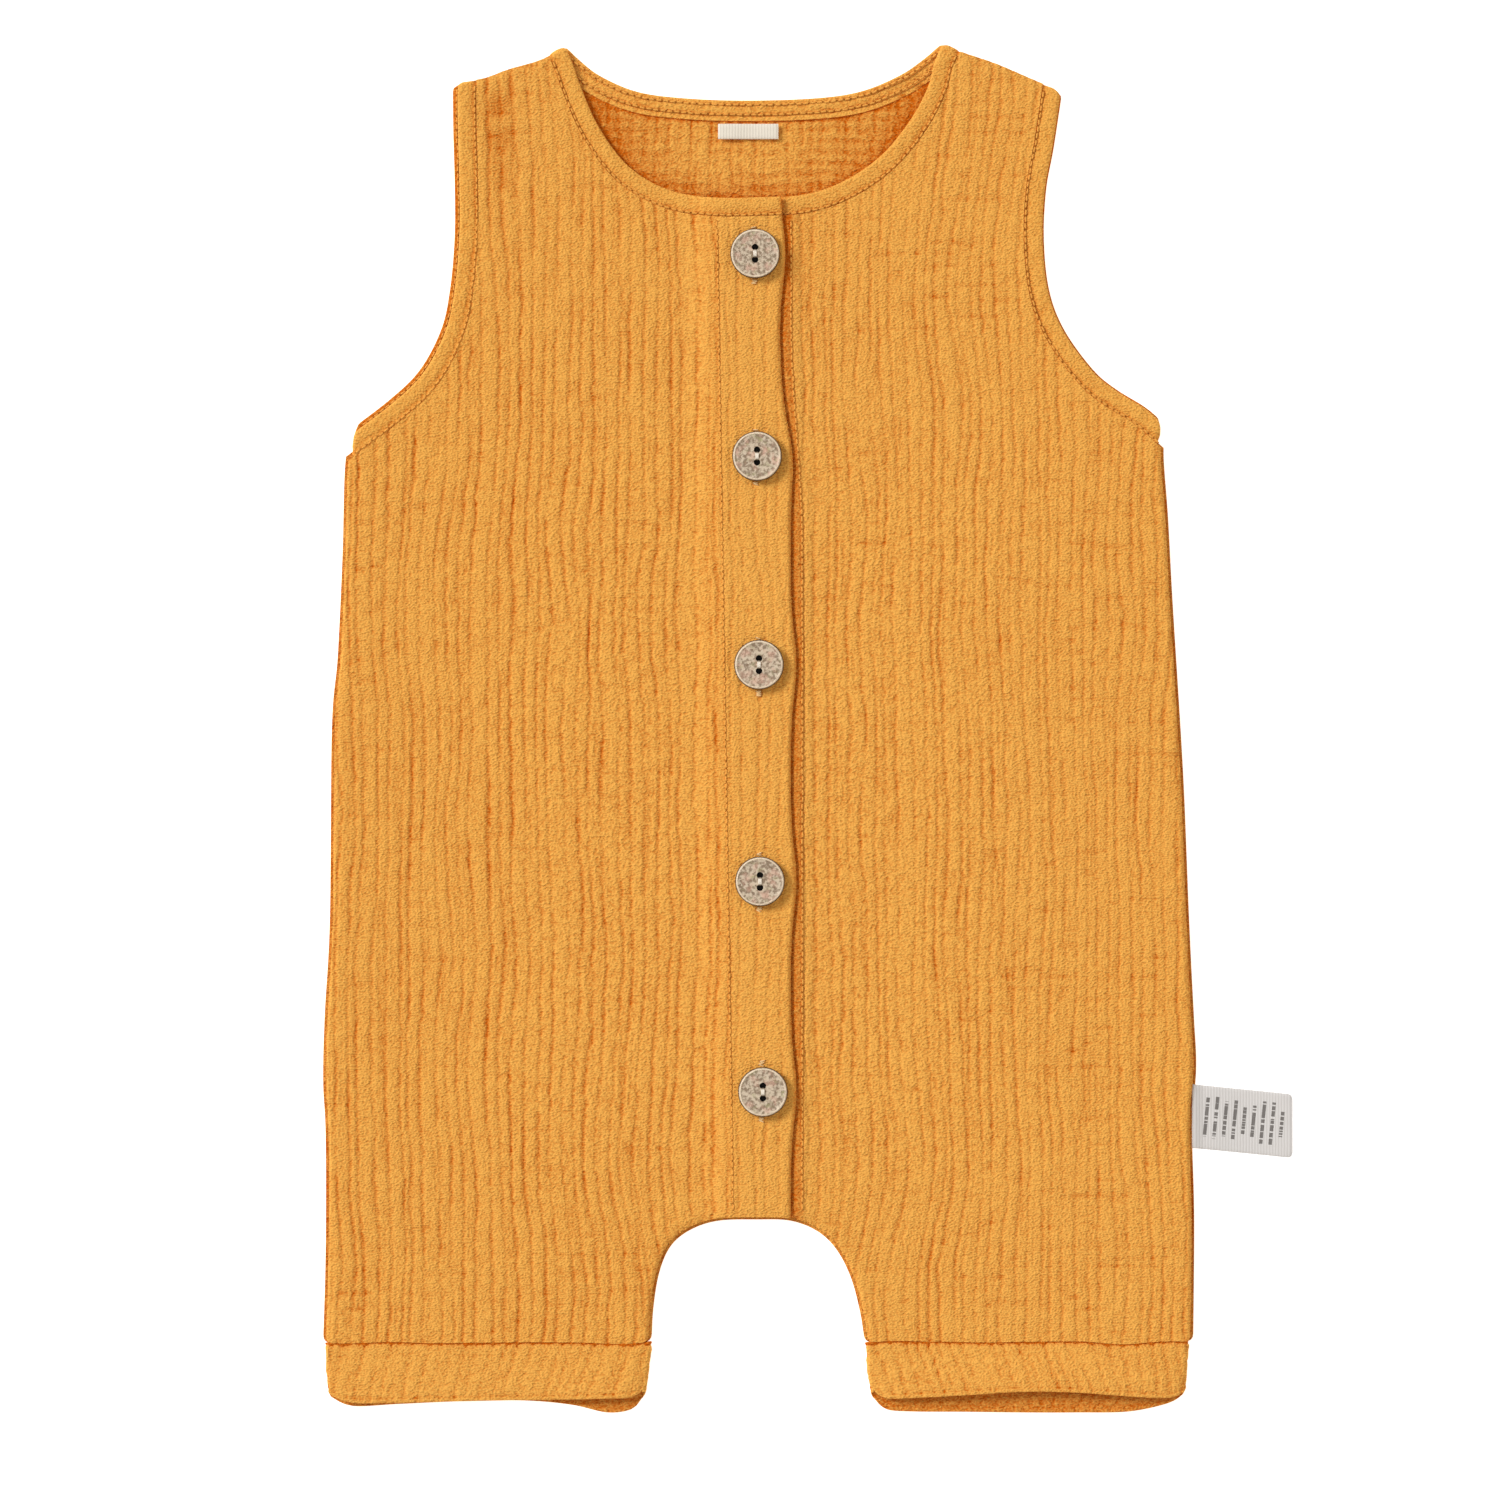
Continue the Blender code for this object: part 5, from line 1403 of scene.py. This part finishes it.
def make_stitches(lines, material):
    """All the rows of stitches that show."""
    right_cut = shifted(lines["right_shoulder"], ROW_ENDS["shoulder"])
    left_cut = shifted(lines["left_shoulder"], ROW_ENDS["shoulder"])
    furrowed = BINDING_FURROW * GROOVE_DEPTH + BINDING_SINK
    sunk = furrowed + ROLL_AT_ROW * BINDING_ROLL

    def on_right(x, y):
        return lap_floor(x, y) + BINDING_WALL - sunk

    def on_left(x, y):
        return front_floor(x, y) + BINDING_WALL - sunk

    def on_band(x, y):
        return lap_floor(x, y) + FRONT_WALL - GROOVE_DEPTH - BAND_SINK

    def on_left_band(x, y):
        return front_floor(x, y) + FRONT_WALL - GROOVE_DEPTH + LEFT_BAND_PUFF - LEFT_BAND_SINK

    def on_back(x, y):
        return BACK_WALL + BACK_NECK_RISE - furrowed + 0 * x

    def on_inside(x, y):
        return BACK_WALL - INSIDE_SINK + 0 * x

    neck_row = shifted(lines["front_neck"], BINDING_ROW)
    rows = {
        "neck_right": (between(neck_row, lines["free_edge"], right_cut), on_right),
        "neck_left": (between(neck_row, left_cut, lines["free_edge"]), on_left),
    }
    for k, inset in enumerate(BACK_ROWS):
        line = between(shifted(lines["back_neck"], inset), left_cut, right_cut)
        rows[f"neck_back_{k + 1}"] = (line, on_back)
    for side, cut in (("right", right_cut), ("left", left_cut)):
        flank = shifted(lines[side + "_side"], FRONT_SET_IN + ROW_ENDS["flank"])
        cuts = (cut, flank) if side == "right" else (flank, cut)
        edge = shifted(lines[side + "_armhole"], ARMHOLE_SET_IN[side] + BINDING_ROW)
        rows[f"armhole_{side}"] = (between(edge, *cuts), on_left)
    inner_row = shifted(lines["right_armhole"], INSIDE_ROW[0])
    inner_cut = shifted(lines["right_side"], INSIDE_ROW[1])
    rows["armhole_behind"] = (between(inner_row, right_cut, inner_cut), on_inside)
    levels = np.arange(BAND_TOP - BAND_ROW_ENDS[0], BAND_BOTTOM + BAND_ROW_ENDS[1], -BAND_STEP)
    rows["band_right"] = ([Point(stitch_place(y), y) for y in levels], on_band)
    rows["band_left"] = ([Point(float(left_row_place(y)), y) for y in levels], on_left_band)
    for name, (line, height) in rows.items():
        places = along_row(line, height)
        sewn(f"stitches_{name}", places, STITCH_PITCH, STITCH_THREAD, STITCH_RISE, material)


BAR_TACK = (2.0, 0.24, 0.12)  # the length, radius and rise of the stitches across its ends
BAR_PITCH = 0.45
BAR_LEAN = 0.4                # how far they turn to either side
BAR_STRAY = 0.3               # and how far they stray along X
BAR_SHIFT = 0.3               # a buttonhole lies this far from its button's middle, toward -X
BAR_GAP = 0.5                 # from the button's rim to the first of them
BAR_SINK = 0.1

# How far a buttonhole shows beyond its button's middle: above and below, in stitches.
HOLE_ENDS = ((1, 3), (1, 2), (1, 4), (2, 3), (4, 3))


def make_buttonholes(material):
    """The ends of the buttonholes, which show above and below the buttons."""
    bars = []
    for centre, ends in zip(BUTTONS, HOLE_ENDS):
        for way, count in zip((1, -1), ends):
            for k in range(count):
                lean = UNEVEN.uniform(-BAR_LEAN, BAR_LEAN)
                level = centre.y + way * (BUTTON_RADIUS + BAR_GAP + k * BAR_PITCH)
                height = float(lap_floor(centre.x, level)) + FRONT_WALL - BAR_SINK
                across = centre.x - BAR_SHIFT + UNEVEN.uniform(-BAR_STRAY, BAR_STRAY)
                bars.append((across, level, height, lean))
    sewn("buttonhole_ends", bars, *BAR_TACK, material)


# ---- Buttons and labels ----

Centre = namedtuple("Centre", "x y floor")


def button_centres():
    """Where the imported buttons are."""
    centres = []
    for number in range(1, 6):
        low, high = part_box(f"button_{number}")
        centres.append(Centre((low.x + high.x) / 2 / MM, (low.y + high.y) / 2 / MM, low.z / MM))
    return centres


BUTTONS = button_centres()
BUTTON_SIDES = 72
BUTTON_RADIUS = 7.6
HOLE_RADIUS = 1.0
HOLE_SPACING = 3.8
BUTTON_FACE = 1.9             # the height of its flat middle
HOLE_BOTTOM = 0.4             # the holes are cut from here
HOLE_PAST = 4.0               # to here
HOLE_SIDES = 24
RIM_PAINTED_HIGHLIGHT = (6.7, 1.6)              # the distance and the height at which the painted highlight on the rim starts
HOLES_WITHIN = (4.0, 0.3)     # the holes are within this distance and above this height, and are painted near-black inside as shade
SIDE_PAINTED_SHADE = (6.9, 2.0)        # painted shade on the side, outside this distance and below this height
WORN = (0.05, 7.0, 1.2)       # how uneven its face is, and out to and above where
BUTTON_BARS = (-0.3, 0.0, 0.3)   # where the threads that sew it on lie, along X
BUTTON_THREAD = (0.66 * HOLE_SPACING, 0.27, 0.3)   # their length, radius and rise

# The turned profile: distance from the middle and height.
BUTTON_PROFILE = (
    (0.0, 0.0), (3.5, 0.0), (6.4, 0.05), (7.05, 0.25), (7.4, 0.6), (7.56, 1.0),
    (BUTTON_RADIUS, 1.35), (7.54, 1.62), (7.38, 1.88), (7.18, 2.08), (6.98, 2.18), (6.8, 2.15),
    (6.62, 2.03), (6.4, 1.94), (5.6, 1.92), (4.8, 1.9), (4.0, 1.9), (3.2, 1.9), (2.4, 1.9), (1.6, 1.9),
    (0.8, 1.9), (0.0, 1.9),
)


def turned(name, profile, sides):
    """A solid of revolution round Z from a profile that starts and ends on the axis."""
    angles = 2 * pi * np.arange(sides) / sides
    radius, height = np.array(profile[1:-1]).T
    x = radius[:, None] * np.cos(angles)
    y = radius[:, None] * np.sin(angles)
    z = np.repeat(height[:, None], sides, 1)
    points = np.dstack((x, y, z)).reshape(-1, 3)
    numbers = np.arange(len(points)).reshape(len(radius), sides)
    wrapped = np.hstack((numbers, numbers[:, :1]))
    faces = quads(wrapped)
    base, top = len(points), len(points) + 1
    points = np.vstack((points, (0, 0, profile[0][1]), (0, 0, profile[-1][1])))
    faces += [[base, int(wrapped[0, k + 1]), int(wrapped[0, k])] for k in range(sides)]
    faces += [[top, int(wrapped[-1, k]), int(wrapped[-1, k + 1])] for k in range(sides)]
    piece = new_object(name, points, faces)
    facing_out(piece)
    return piece


def make_button(number, centre, shell, thread):
    """A coconut button with a raised rim and two holes, sewn on with a bar of thread.

    The thread fills the bottoms of the holes, so they are cut blind, and their walls are painted
    near-black as shade. The pale rim is a painted highlight and the dark side painted shade."""
    name = f"button_{number}_shell"
    piece = turned(name, BUTTON_PROFILE, BUTTON_SIDES)
    for end in (-1, 1):
        profile = ((0, HOLE_BOTTOM), (HOLE_RADIUS, HOLE_BOTTOM), (HOLE_RADIUS, HOLE_PAST), (0, HOLE_PAST))
        pin = turned("pin", profile, HOLE_SIDES)
        pin.data.transform(Matrix.Translation((0.0, end * HOLE_SPACING / 2 * MM, 0.0)))
        carved(piece, pin, "DIFFERENCE")
    x, y, z = points_of(piece)
    reach = np.hypot(x, y)
    worn, out_to, above = WORN
    uneven = worn * noise(x / 1.3 + 13 * number, y / 1.1) * (reach < out_to) * (z > above)
    moved = np.column_stack((x + centre.x, y + centre.y, z + centre.floor + uneven)) * MM
    piece.data.vertices.foreach_set("co", moved.astype(np.float32).ravel())
    # painted shade: the hole walls near-black
    hole_painted_shade = (reach < HOLES_WITHIN[0]) * (z > HOLES_WITHIN[1]) * (z < BUTTON_FACE - 0.1)
    # painted shade: the dark foot of the side
    low = np.clip((SIDE_PAINTED_SHADE[1] - z) / 0.15, 0, 1)
    # painted highlight: the pale top of the rim
    mark(piece, "rim", np.clip((reach - RIM_PAINTED_HIGHLIGHT[0]) / 0.3, 0, 1) * (z > RIM_PAINTED_HIGHLIGHT[1]))
    mark(piece, "hole", hole_painted_shade * 1.0)
    mark(piece, "side", low * np.clip((reach - SIDE_PAINTED_SHADE[0]) / 0.2, 0, 1))
    finished(piece, shell, f"button_{number}", 0.6)
    level = centre.floor + BUTTON_FACE
    bars = [(centre.x + offset, centre.y, level, pi / 2) for offset in BUTTON_BARS]
    sewn(f"button_{number}_thread", bars, *BUTTON_THREAD, thread)


LABEL_WALL = 0.7
TAPE_POINTS = 25              # across each side of a tape
TAPE_STEP = 0.35
TAPE_WAVE = 0.25              # how far it waves up from the surface
TAPE_WAVES = 1.3              # and how often in its length
SIZE_LABEL = (18.5, 4.7)
SIZE_LABEL_CENTRE = Point(-2.7, 183.0)
CARE_LABEL = (30.9, 19.6)
LABEL_CAUGHT = 1.5            # how much of it is caught in the side seam
CAUGHT_HEIGHT = 0.8           # the seam holds it this high
CAUGHT_REACH = 4.0            # and it has come down this far from its start
LABEL_LINES = 9               # of dashes
LINE_PITCH = 2.9
CARE_LABEL_LEVEL = -119.0
CARE_LABEL_TILT = -0.1
CARE_LABEL_ROUND = 1.5
TAPE_RIB = 0.9                # the satin's fine ribs, drawn coarser than the real 0.3
TAPE_RELIEF = 0.05            # the depth of its ribs and of its soft unevenness


def tape(name, size, corner, place, material, node, caught=0.0):
    """A piece of woven tape that starts at a place and runs to +X, tilted, with soft corners.

    caught is the height at which a seam holds its start."""
    length, width = size
    start, level, floor, tilt = place
    sections = []
    for run in stops(0.0, length, TAPE_STEP):
        to_end = length - run
        half = width / 2 - drawn_in(corner, to_end)
        wave = TAPE_WAVE * (0.5 + 0.5 * sin(2 * TAPE_WAVES * pi * run / length))
        lift = wave + caught * float(eased(run, CAUGHT_REACH, 0.0))
        x, middle = start + run, level + tilt * run
        low, high = floor + lift, floor + lift + LABEL_WALL
        sections.append(Section(
            Vector((x, middle - half, low)), Vector((x, middle - half, high)),
            Vector((x, middle + half, high)), Vector((x, middle + half, low)),
        ))

    def relief(run, from_seam, *_):
        ribs = TAPE_RELIEF * even_wave(run, TAPE_RIB)
        return ribs + TAPE_RELIEF * noise(run / 4, from_seam / 4)

    piece = strip(name, sections, False, TAPE_POINTS, relief)
    return finished(piece, material, node)


# ---- Materials ----

def linear(colour):
    """An sRGB hex colour as linear values."""
    parts = [int(colour[k:k + 2], 16) / 255 for k in (0, 2, 4)]
    return (*[c / 12.92 if c <= 0.04045 else ((c + 0.055) / 1.055) ** 2.4 for c in parts], 1.0)


def add(tree, kind, inputs=None, **settings):
    """Add a node with its settings. An input is a value, or another node or one of its outputs."""
    made = tree.nodes.new("ShaderNode" + kind)
    for name, value in settings.items():
        setattr(made, name, value)
    for name, value in (inputs or {}).items():
        if isinstance(value, bpy.types.Node):
            value = next(output for output in value.outputs if output.enabled)
        if isinstance(value, bpy.types.NodeSocket):
            tree.links.new(value, made.inputs[name])
        else:
            made.inputs[name].default_value = value
    return made


def new_material(name, **values):
    """A material with its shader's own values set, and places in millimetres to draw it on."""
    material = bpy.data.materials.new(name)
    material.use_nodes = True
    tree = material.node_tree
    shader = tree.nodes["Principled BSDF"]
    for socket, value in values.items():
        shader.inputs[socket.replace("_", " ")].default_value = value
    place = add(tree, "TexCoord").outputs["Object"]
    in_mm = add(tree, "Mapping", {"Vector": place, "Scale": (1 / MM, 1 / MM, 1 / MM)})
    return material, tree, shader, in_mm


def dress(tree, shader, colour, height, distance, strength=1.0):
    """Give a shader its colour, and its relief from a height that reaches over a distance in mm."""
    tree.links.new(colour.outputs[2], shader.inputs["Base Color"])
    bump = add(tree, "Bump", {"Height": height, "Distance": distance * MM, "Strength": strength})
    tree.links.new(bump.outputs[0], shader.inputs["Normal"])


def grain(tree, place, across, along_it, detail=2.0):
    """Random grain with its own size across and along, from 0 to 1."""
    size = add(tree, "Mapping", {"Vector": place, "Scale": (1 / across, 1 / along_it, 0.4)})
    return add(tree, "TexNoise", {"Vector": size, "Scale": 1.0, "Detail": detail})


YARN = 0.8                    # the pitch that a weave of 0.5 mm yarns is drawn at
YARN_RELIEF = 0.66            # how far their height reaches
YARN_PAINTED_LIGHT = -1.4              # painted light on their crests and painted shade between them
FADED = (9.0, 14.0, -0.06)    # the size of the faded patches, and how much lighter they are
EVEN_TINT = 0.7               # what makes up for both
NAP = 0.06                    # how much light its fibre ends catch


def cotton(name, crest, trough):
    """Woven cotton: matte with a soft nap, with painted shade where little light gets in.

    Its yarns are 0.5 mm apart, too fine to show, so they are drawn coarser, as lumps and dashes.
    The grain has no finer detail, which would only tilt the shading and darken the cloth."""
    material, tree, shader, place = new_material(
        name, Roughness=0.92, IOR=1.5, Specular_IOR_Level=0.08,
        Sheen_Weight=NAP, Sheen_Roughness=0.5, Sheen_Tint=linear("ffc880"),
    )
    warp = grain(tree, place, YARN, 1.6 * YARN, 0.0)
    weft = grain(tree, place, 2.0 * YARN, 0.7 * YARN, 0.0)
    slubs = grain(tree, place, 0.9 * YARN, 0.65 * YARN, 0.0)
    woven = add(tree, "Mix", {0: 0.65, 2: warp, 3: weft})
    yarns = add(tree, "Mix", {0: 0.75, 2: woven, 3: slubs})
    faded = grain(tree, place, *FADED[:2])
    # crest is the lit colour and trough the painted shade; the trough attribute and the yarns set its
    # share, the faded patches are real tone
    depth = add(tree, "Attribute", attribute_name="trough")
    tint = add(tree, "Math", {0: yarns, 1: YARN_PAINTED_LIGHT, 2: depth}, operation="MULTIPLY_ADD")
    tint = add(tree, "Math", {0: faded, 1: FADED[2], 2: tint}, operation="MULTIPLY_ADD")
    tint = add(tree, "Math", {0: tint, 1: EVEN_TINT}, operation="ADD", use_clamp=True)
    colour = add(tree, "Mix", {0: tint, 6: linear(crest), 7: linear(trough)}, data_type="RGBA")
    dress(tree, shader, colour, yarns, YARN_RELIEF)
    return material


# The mottle of the shell: size across and along, detail, and the gain and offset of each share.
SHELL_SPOTS = (
    ("blotch", 1.0, 1.0, 4.0, 6.0, -2.4), ("blush", 2.6, 3.1, 2.0, 5.0, -2.5),
    ("moss", 2.2, 1.4, 2.0, 6.0, -3.4), ("fleck", 0.9, 0.6, 2.0, 7.0, -4.1),
)


def coconut_shell():
    """Coconut shell, turned and polished: a grey-brown mottle of short fibres, with a satin gloss.

    Its fibres are 0.3 mm thick and are drawn three times as thick, or they would not show."""
    material, tree, shader, place = new_material(
        "turned_coconut_shell", Roughness=0.5, IOR=1.5, Specular_IOR_Level=0.3,
    )
    shares = {}
    for kind, across, along_it, detail, gain, offset in SHELL_SPOTS:
        spots = grain(tree, place, across, along_it, detail)
        shares[kind] = add(tree, "Math", {0: spots, 1: gain, 2: offset},
                           operation="MULTIPLY_ADD", use_clamp=True)
    colour = add(tree, "Mix", {0: shares["blotch"], 6: linear("95816d"), 7: linear("d9c9b3")},
                 data_type="RGBA")
    for kind, tone in (("blush", "e1b4a0"), ("moss", "b0ae81"), ("fleck", "7d5940")):
        half = add(tree, "Math", {0: shares[kind], 1: 0.65}, operation="MULTIPLY")
        colour = add(tree, "Mix", {0: half, 6: colour, 7: linear(tone)}, data_type="RGBA")
    # rim is a painted highlight; side and hole are painted shade
    for kind, tone in (("rim", "f3e2ca"), ("side", "3a2416"), ("hole", "140d09")):
        share = add(tree, "Attribute", attribute_name=kind)
        colour = add(tree, "Mix", {0: share, 6: colour, 7: linear(tone)}, data_type="RGBA")
    dress(tree, shader, colour, shares["blotch"], 0.12)
    return material


def cotton_thread(name, lit, hole_shade_colour):
    """Spun cotton sewing thread: matte, with painted shade where it dives into its needle holes."""
    material, tree, shader, place = new_material(name, Roughness=0.8, IOR=1.5, Specular_IOR_Level=0.1)
    twist = grain(tree, place, 0.3, 0.3, 1.0)
    sunk = add(tree, "Attribute", attribute_name="sunk")
    # sunk is 1 at a stitch's ends: painted shade in its needle holes
    dark = add(tree, "Math", {0: sunk, 1: 3.0, 2: -1.6}, operation="MULTIPLY_ADD", use_clamp=True)
    colour = add(tree, "Mix", {0: dark, 6: linear(lit), 7: linear(hole_shade_colour)}, data_type="RGBA")
    dress(tree, shader, colour, twist, 0.1)
    return material


DASH_HALF = 0.19              # half the height of a row of dashes, as a share of its pitch
DASH_GAPS = 0.42              # the share of a row that its gaps take, roughly
DASH_INK = 0.8                # how strongly they are printed
RIB_SHADE = 0.22              # how strongly the ribs show


def satin_tape(name, ground, origin, tilt, line_pitch, lines):
    """Woven polyester satin tape: smooth, ribbed and faintly glossy, with rows of grey dashes."""
    material, tree, shader, place = new_material(
        name, Roughness=0.55, IOR=1.54, Specular_IOR_Level=0.3, Sheen_Weight=0.1,
    )
    start = add(tree, "VectorMath", {0: place, 1: (-origin[0], -origin[1], 0.0)}, operation="ADD")
    straight = add(tree, "VectorRotate", {"Vector": start, "Angle": -tilt})
    run = add(tree, "SeparateXYZ", {"Vector": straight})
    counted = add(tree, "Math", {0: run.outputs[0], 1: line_pitch}, operation="DIVIDE")
    row = add(tree, "Math", {0: counted}, operation="FLOOR")
    place_in_row = add(tree, "Math", {0: counted}, operation="FRACT")
    from_middle = add(tree, "Math", {0: place_in_row, 1: 0.5}, operation="SUBTRACT")
    off_row = add(tree, "Math", {0: from_middle}, operation="ABSOLUTE")
    spread = add(tree, "Math", {0: row, 1: 7.3}, operation="MULTIPLY")
    half_length = add(tree, "TexNoise", {"Vector": add(tree, "CombineXYZ", {0: spread}), "Scale": 1.0})
    reach = add(tree, "Math", {0: half_length, 1: 14.0, 2: -1.0}, operation="MULTIPLY_ADD")
    off_centre = add(tree, "Math", {0: run.outputs[1]}, operation="ABSOLUTE")
    dash_place = add(tree, "CombineXYZ", {0: spread, 1: run.outputs[1]})
    dashes = add(tree, "TexNoise", {"Vector": dash_place, "Scale": 1.3, "Detail": 1.0})
    inked = add(tree, "Math", {0: off_row, 1: DASH_HALF}, operation="LESS_THAN")
    for low, high in ((DASH_GAPS, dashes), (off_centre, reach), (row, lines - 0.5), (-0.5, row)):
        shown = add(tree, "Math", {0: low, 1: high}, operation="LESS_THAN")
        inked = add(tree, "Math", {0: inked, 1: shown}, operation="MULTIPLY")
    inked = add(tree, "Math", {0: inked, 1: DASH_INK}, operation="MULTIPLY")
    rib = add(tree, "TexWave", {"Vector": place, "Scale": 0.314 / TAPE_RIB, "Distortion": 0.6})
    ribbed = add(tree, "Math", {0: rib, 1: RIB_SHADE}, operation="MULTIPLY")
    shade = add(tree, "Mix", {0: ribbed, 6: linear(ground), 7: linear("aca9a5")}, data_type="RGBA")
    colour = add(tree, "Mix", {0: inked, 6: shade, 7: linear("4b4643")}, data_type="RGBA")
    dress(tree, shader, colour, rib, 0.1, 0.4)
    return material


def lit_acrylic():
    """Frosted white acrylic, lit from below: an even white on which little shadow falls."""
    material, tree, shader, place = new_material(
        "frosted_lit_acrylic", Roughness=0.6, IOR=1.49, Specular_IOR_Level=0.1,
        Emission_Color=linear("ffffff"), Emission_Strength=0.7,
    )
    frost = grain(tree, place, 3.0, 3.0)
    colour = add(tree, "Mix", {0: frost, 6: linear("fdfdfd"), 7: linear("ffffff")}, data_type="RGBA")
    dress(tree, shader, colour, frost, 0.01)
    return material


# ---- Stage ----

CAMERA_HEIGHT = 2400.0
FRAME_WIDTH = 460.2           # of the surface, that the view takes in
VIEW_CENTRE = Point(-2.15, -6.6)
SENSOR = 36.0
FLOOR_DROP = 0.1
TABLE_HALF = 3000.0

# The direction in which each light shines, its strength and its angular size.
KEY = ((0.72, -0.42, -0.62), 2.35, 0.36)
FILL = ((-0.5, 0.3, -0.8), 0.545, 2.0)
ROOM_LIGHT = ("fff2de", 0.38)


def lamp(name, direction, strength, softness):
    """A far soft light that shines along a direction."""
    data = bpy.data.lights.new(name, "SUN")
    data.energy = strength
    data.angle = softness
    made = bpy.data.objects.new(name, data)
    made.rotation_euler = Vector(direction).to_track_quat("-Z", "Y").to_euler()
    bpy.context.scene.collection.objects.link(made)


def set_stage():
    """A lit white table, a key light from the upper left, a weak soft fill and a camera above."""
    scene = bpy.context.scene
    half = TABLE_HALF
    corners = [(-half, -half), (half, -half), (half, half), (-half, half)]
    paper = new_object("backdrop", [(x, y, -FLOOR_DROP) for x, y in corners], [(0, 1, 2, 3)])
    paper.data.materials.append(lit_acrylic())

    lamp("key", *KEY)
    lamp("fill", *FILL)
    world = bpy.data.worlds.new("studio")
    world.use_nodes = True
    room = world.node_tree.nodes["Background"]
    room.inputs["Color"].default_value = linear(ROOM_LIGHT[0])
    room.inputs["Strength"].default_value = ROOM_LIGHT[1]
    scene.world = world
    scene.view_settings.view_transform = "Standard"

    data = bpy.data.cameras.new("camera")
    data.sensor_width = SENSOR
    data.lens = SENSOR * CAMERA_HEIGHT / FRAME_WIDTH
    camera = bpy.data.objects.new("camera", data)
    camera.location = Vector((*VIEW_CENTRE, CAMERA_HEIGHT)) * MM
    scene.collection.objects.link(camera)
    scene.camera = camera


# ---- The whole romper ----

def garment_lines():
    """The garment's edges as rounded lines, by name."""
    tables = {
        "front_neck": FRONT_NECK, "back_neck": BACK_NECK,
        "right_shoulder": RIGHT_SHOULDER, "left_shoulder": LEFT_SHOULDER,
        "right_armhole": RIGHT_ARMHOLE, "left_armhole": LEFT_ARMHOLE,
        "right_side": RIGHT_SIDE, "left_side": LEFT_SIDE, "inseam": INSEAM,
    }
    lines = {name: smooth_line(table) for name, table in tables.items()}
    levels = stops(BAND_BOTTOM - 8.0, BAND_TOP + 14.0, LINE_STEP)
    lines["free_edge"] = [Point(free_edge(y), y) for y in levels]
    lines["hidden_edge"] = [Point(stitch_place(y) + UNDERLAP_EDGE, y) for y in levels[::-1]]
    for name, start, end in (
        ("right_hem", RIGHT_SIDE[-1].x, INSEAM[0].x), ("left_hem", INSEAM[-1].x, LEFT_SIDE[0].x),
    ):
        lines[name] = [Point(x, HEM_LEVEL + hem_wave(x)) for x in stops(start, end, LINE_STEP)]
    return lines


def patterns(lines):
    """The outlines of the back and both fronts."""
    neck = shifted(lines["front_neck"], BINDING_WIDTH + SEAM_GAP)
    inseam = shifted(lines["inseam"], FRONT_SET_IN)
    armholes = {
        side: shifted(lines[side + "_armhole"], ARMHOLE_SET_IN[side] + BINDING_WIDTH + SEAM_GAP)
        for side in ("right", "left")
    }
    back = outline([
        lines["right_hem"], lines["inseam"], lines["left_hem"], lines["left_side"],
        shifted(lines["left_armhole"], BINDING_WIDTH + SEAM_GAP), lines["left_shoulder"],
        shifted(lines["back_neck"], BACK_NECK_WIDTH + SEAM_GAP), lines["right_shoulder"],
        shifted(lines["right_armhole"], BINDING_WIDTH + SEAM_GAP), lines["right_side"],
    ])
    right = outline([
        lines["right_hem"], inseam, lines["free_edge"], neck, lines["right_shoulder"],
        armholes["right"], shifted(lines["right_side"], FRONT_SET_IN),
    ])
    left = outline([
        lines["left_hem"], shifted(lines["left_side"], FRONT_SET_IN), armholes["left"],
        lines["left_shoulder"], neck, lines["hidden_edge"], inseam,
    ])
    return [soft_hems(line) for line in (back, right, left)]


def main():
    """Build the looks."""
    lines = garment_lines()
    # each cotton's second colour is its painted shade, and each thread's the painted shade in its needle
    # holes
    gauze = cotton("piece_dyed_cotton_double_gauze", "f7b557", "cb6206")
    bias = cotton("pressed_cotton_gauze_binding", "f6b557", "d06c10")
    thread = cotton_thread("mustard_cotton_thread", "f0ac52", "a9641f")
    cream = cotton_thread("cream_cotton_thread", "f4ecdf", "8a7a66")
    shell = coconut_shell()

    back_line, right_line, left_line = patterns(lines)
    back = make_back(back_line, lines, gauze)
    for side, line in (("right", right_line), ("left", left_line)):
        front = make_front(side, line, lines, gauze)

    neck = make_neck_binding(lines, bias)
    for side in ("right", "left"):
        armhole = make_armhole_binding(side, lines, bias)
        cuff = make_cuff(side, gauze)
    make_stitches(lines, thread)

    make_buttonholes(cotton_thread("pale_cotton_buttonhole_thread", "f6cf96", "b87a38"))
    for number, centre in enumerate(BUTTONS, 1):
        make_button(number, centre, shell, cream)

    seam_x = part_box("care_label")[0].x / MM
    first_line = (seam_x + LABEL_CAUGHT, CARE_LABEL_LEVEL)
    ribbon = satin_tape(
        "woven_satin_ribbon", "dfdee0", first_line, CARE_LABEL_TILT, LINE_PITCH, LABEL_LINES,
    )
    start = seam_x - LABEL_CAUGHT
    place = (start, CARE_LABEL_LEVEL - LABEL_CAUGHT * CARE_LABEL_TILT, 0.0, CARE_LABEL_TILT)
    care = tape(
        "care_label_ribbon", CARE_LABEL, CARE_LABEL_ROUND, place, ribbon, "care_label",
        CAUGHT_HEIGHT,
    )
    corner = Point(SIZE_LABEL_CENTRE.x - SIZE_LABEL[0] / 2, SIZE_LABEL_CENTRE.y)
    tab = satin_tape("woven_satin_tab", "f2ebde", (corner.x, corner.y - 1.0), 0.0, 50.0, 0)
    place = (corner.x, corner.y, BACK_WALL + SEAM_GAP, 0.0)
    tape("size_label_tab", SIZE_LABEL, 0.0, place, tab, "size_label")
    set_stage()


main()
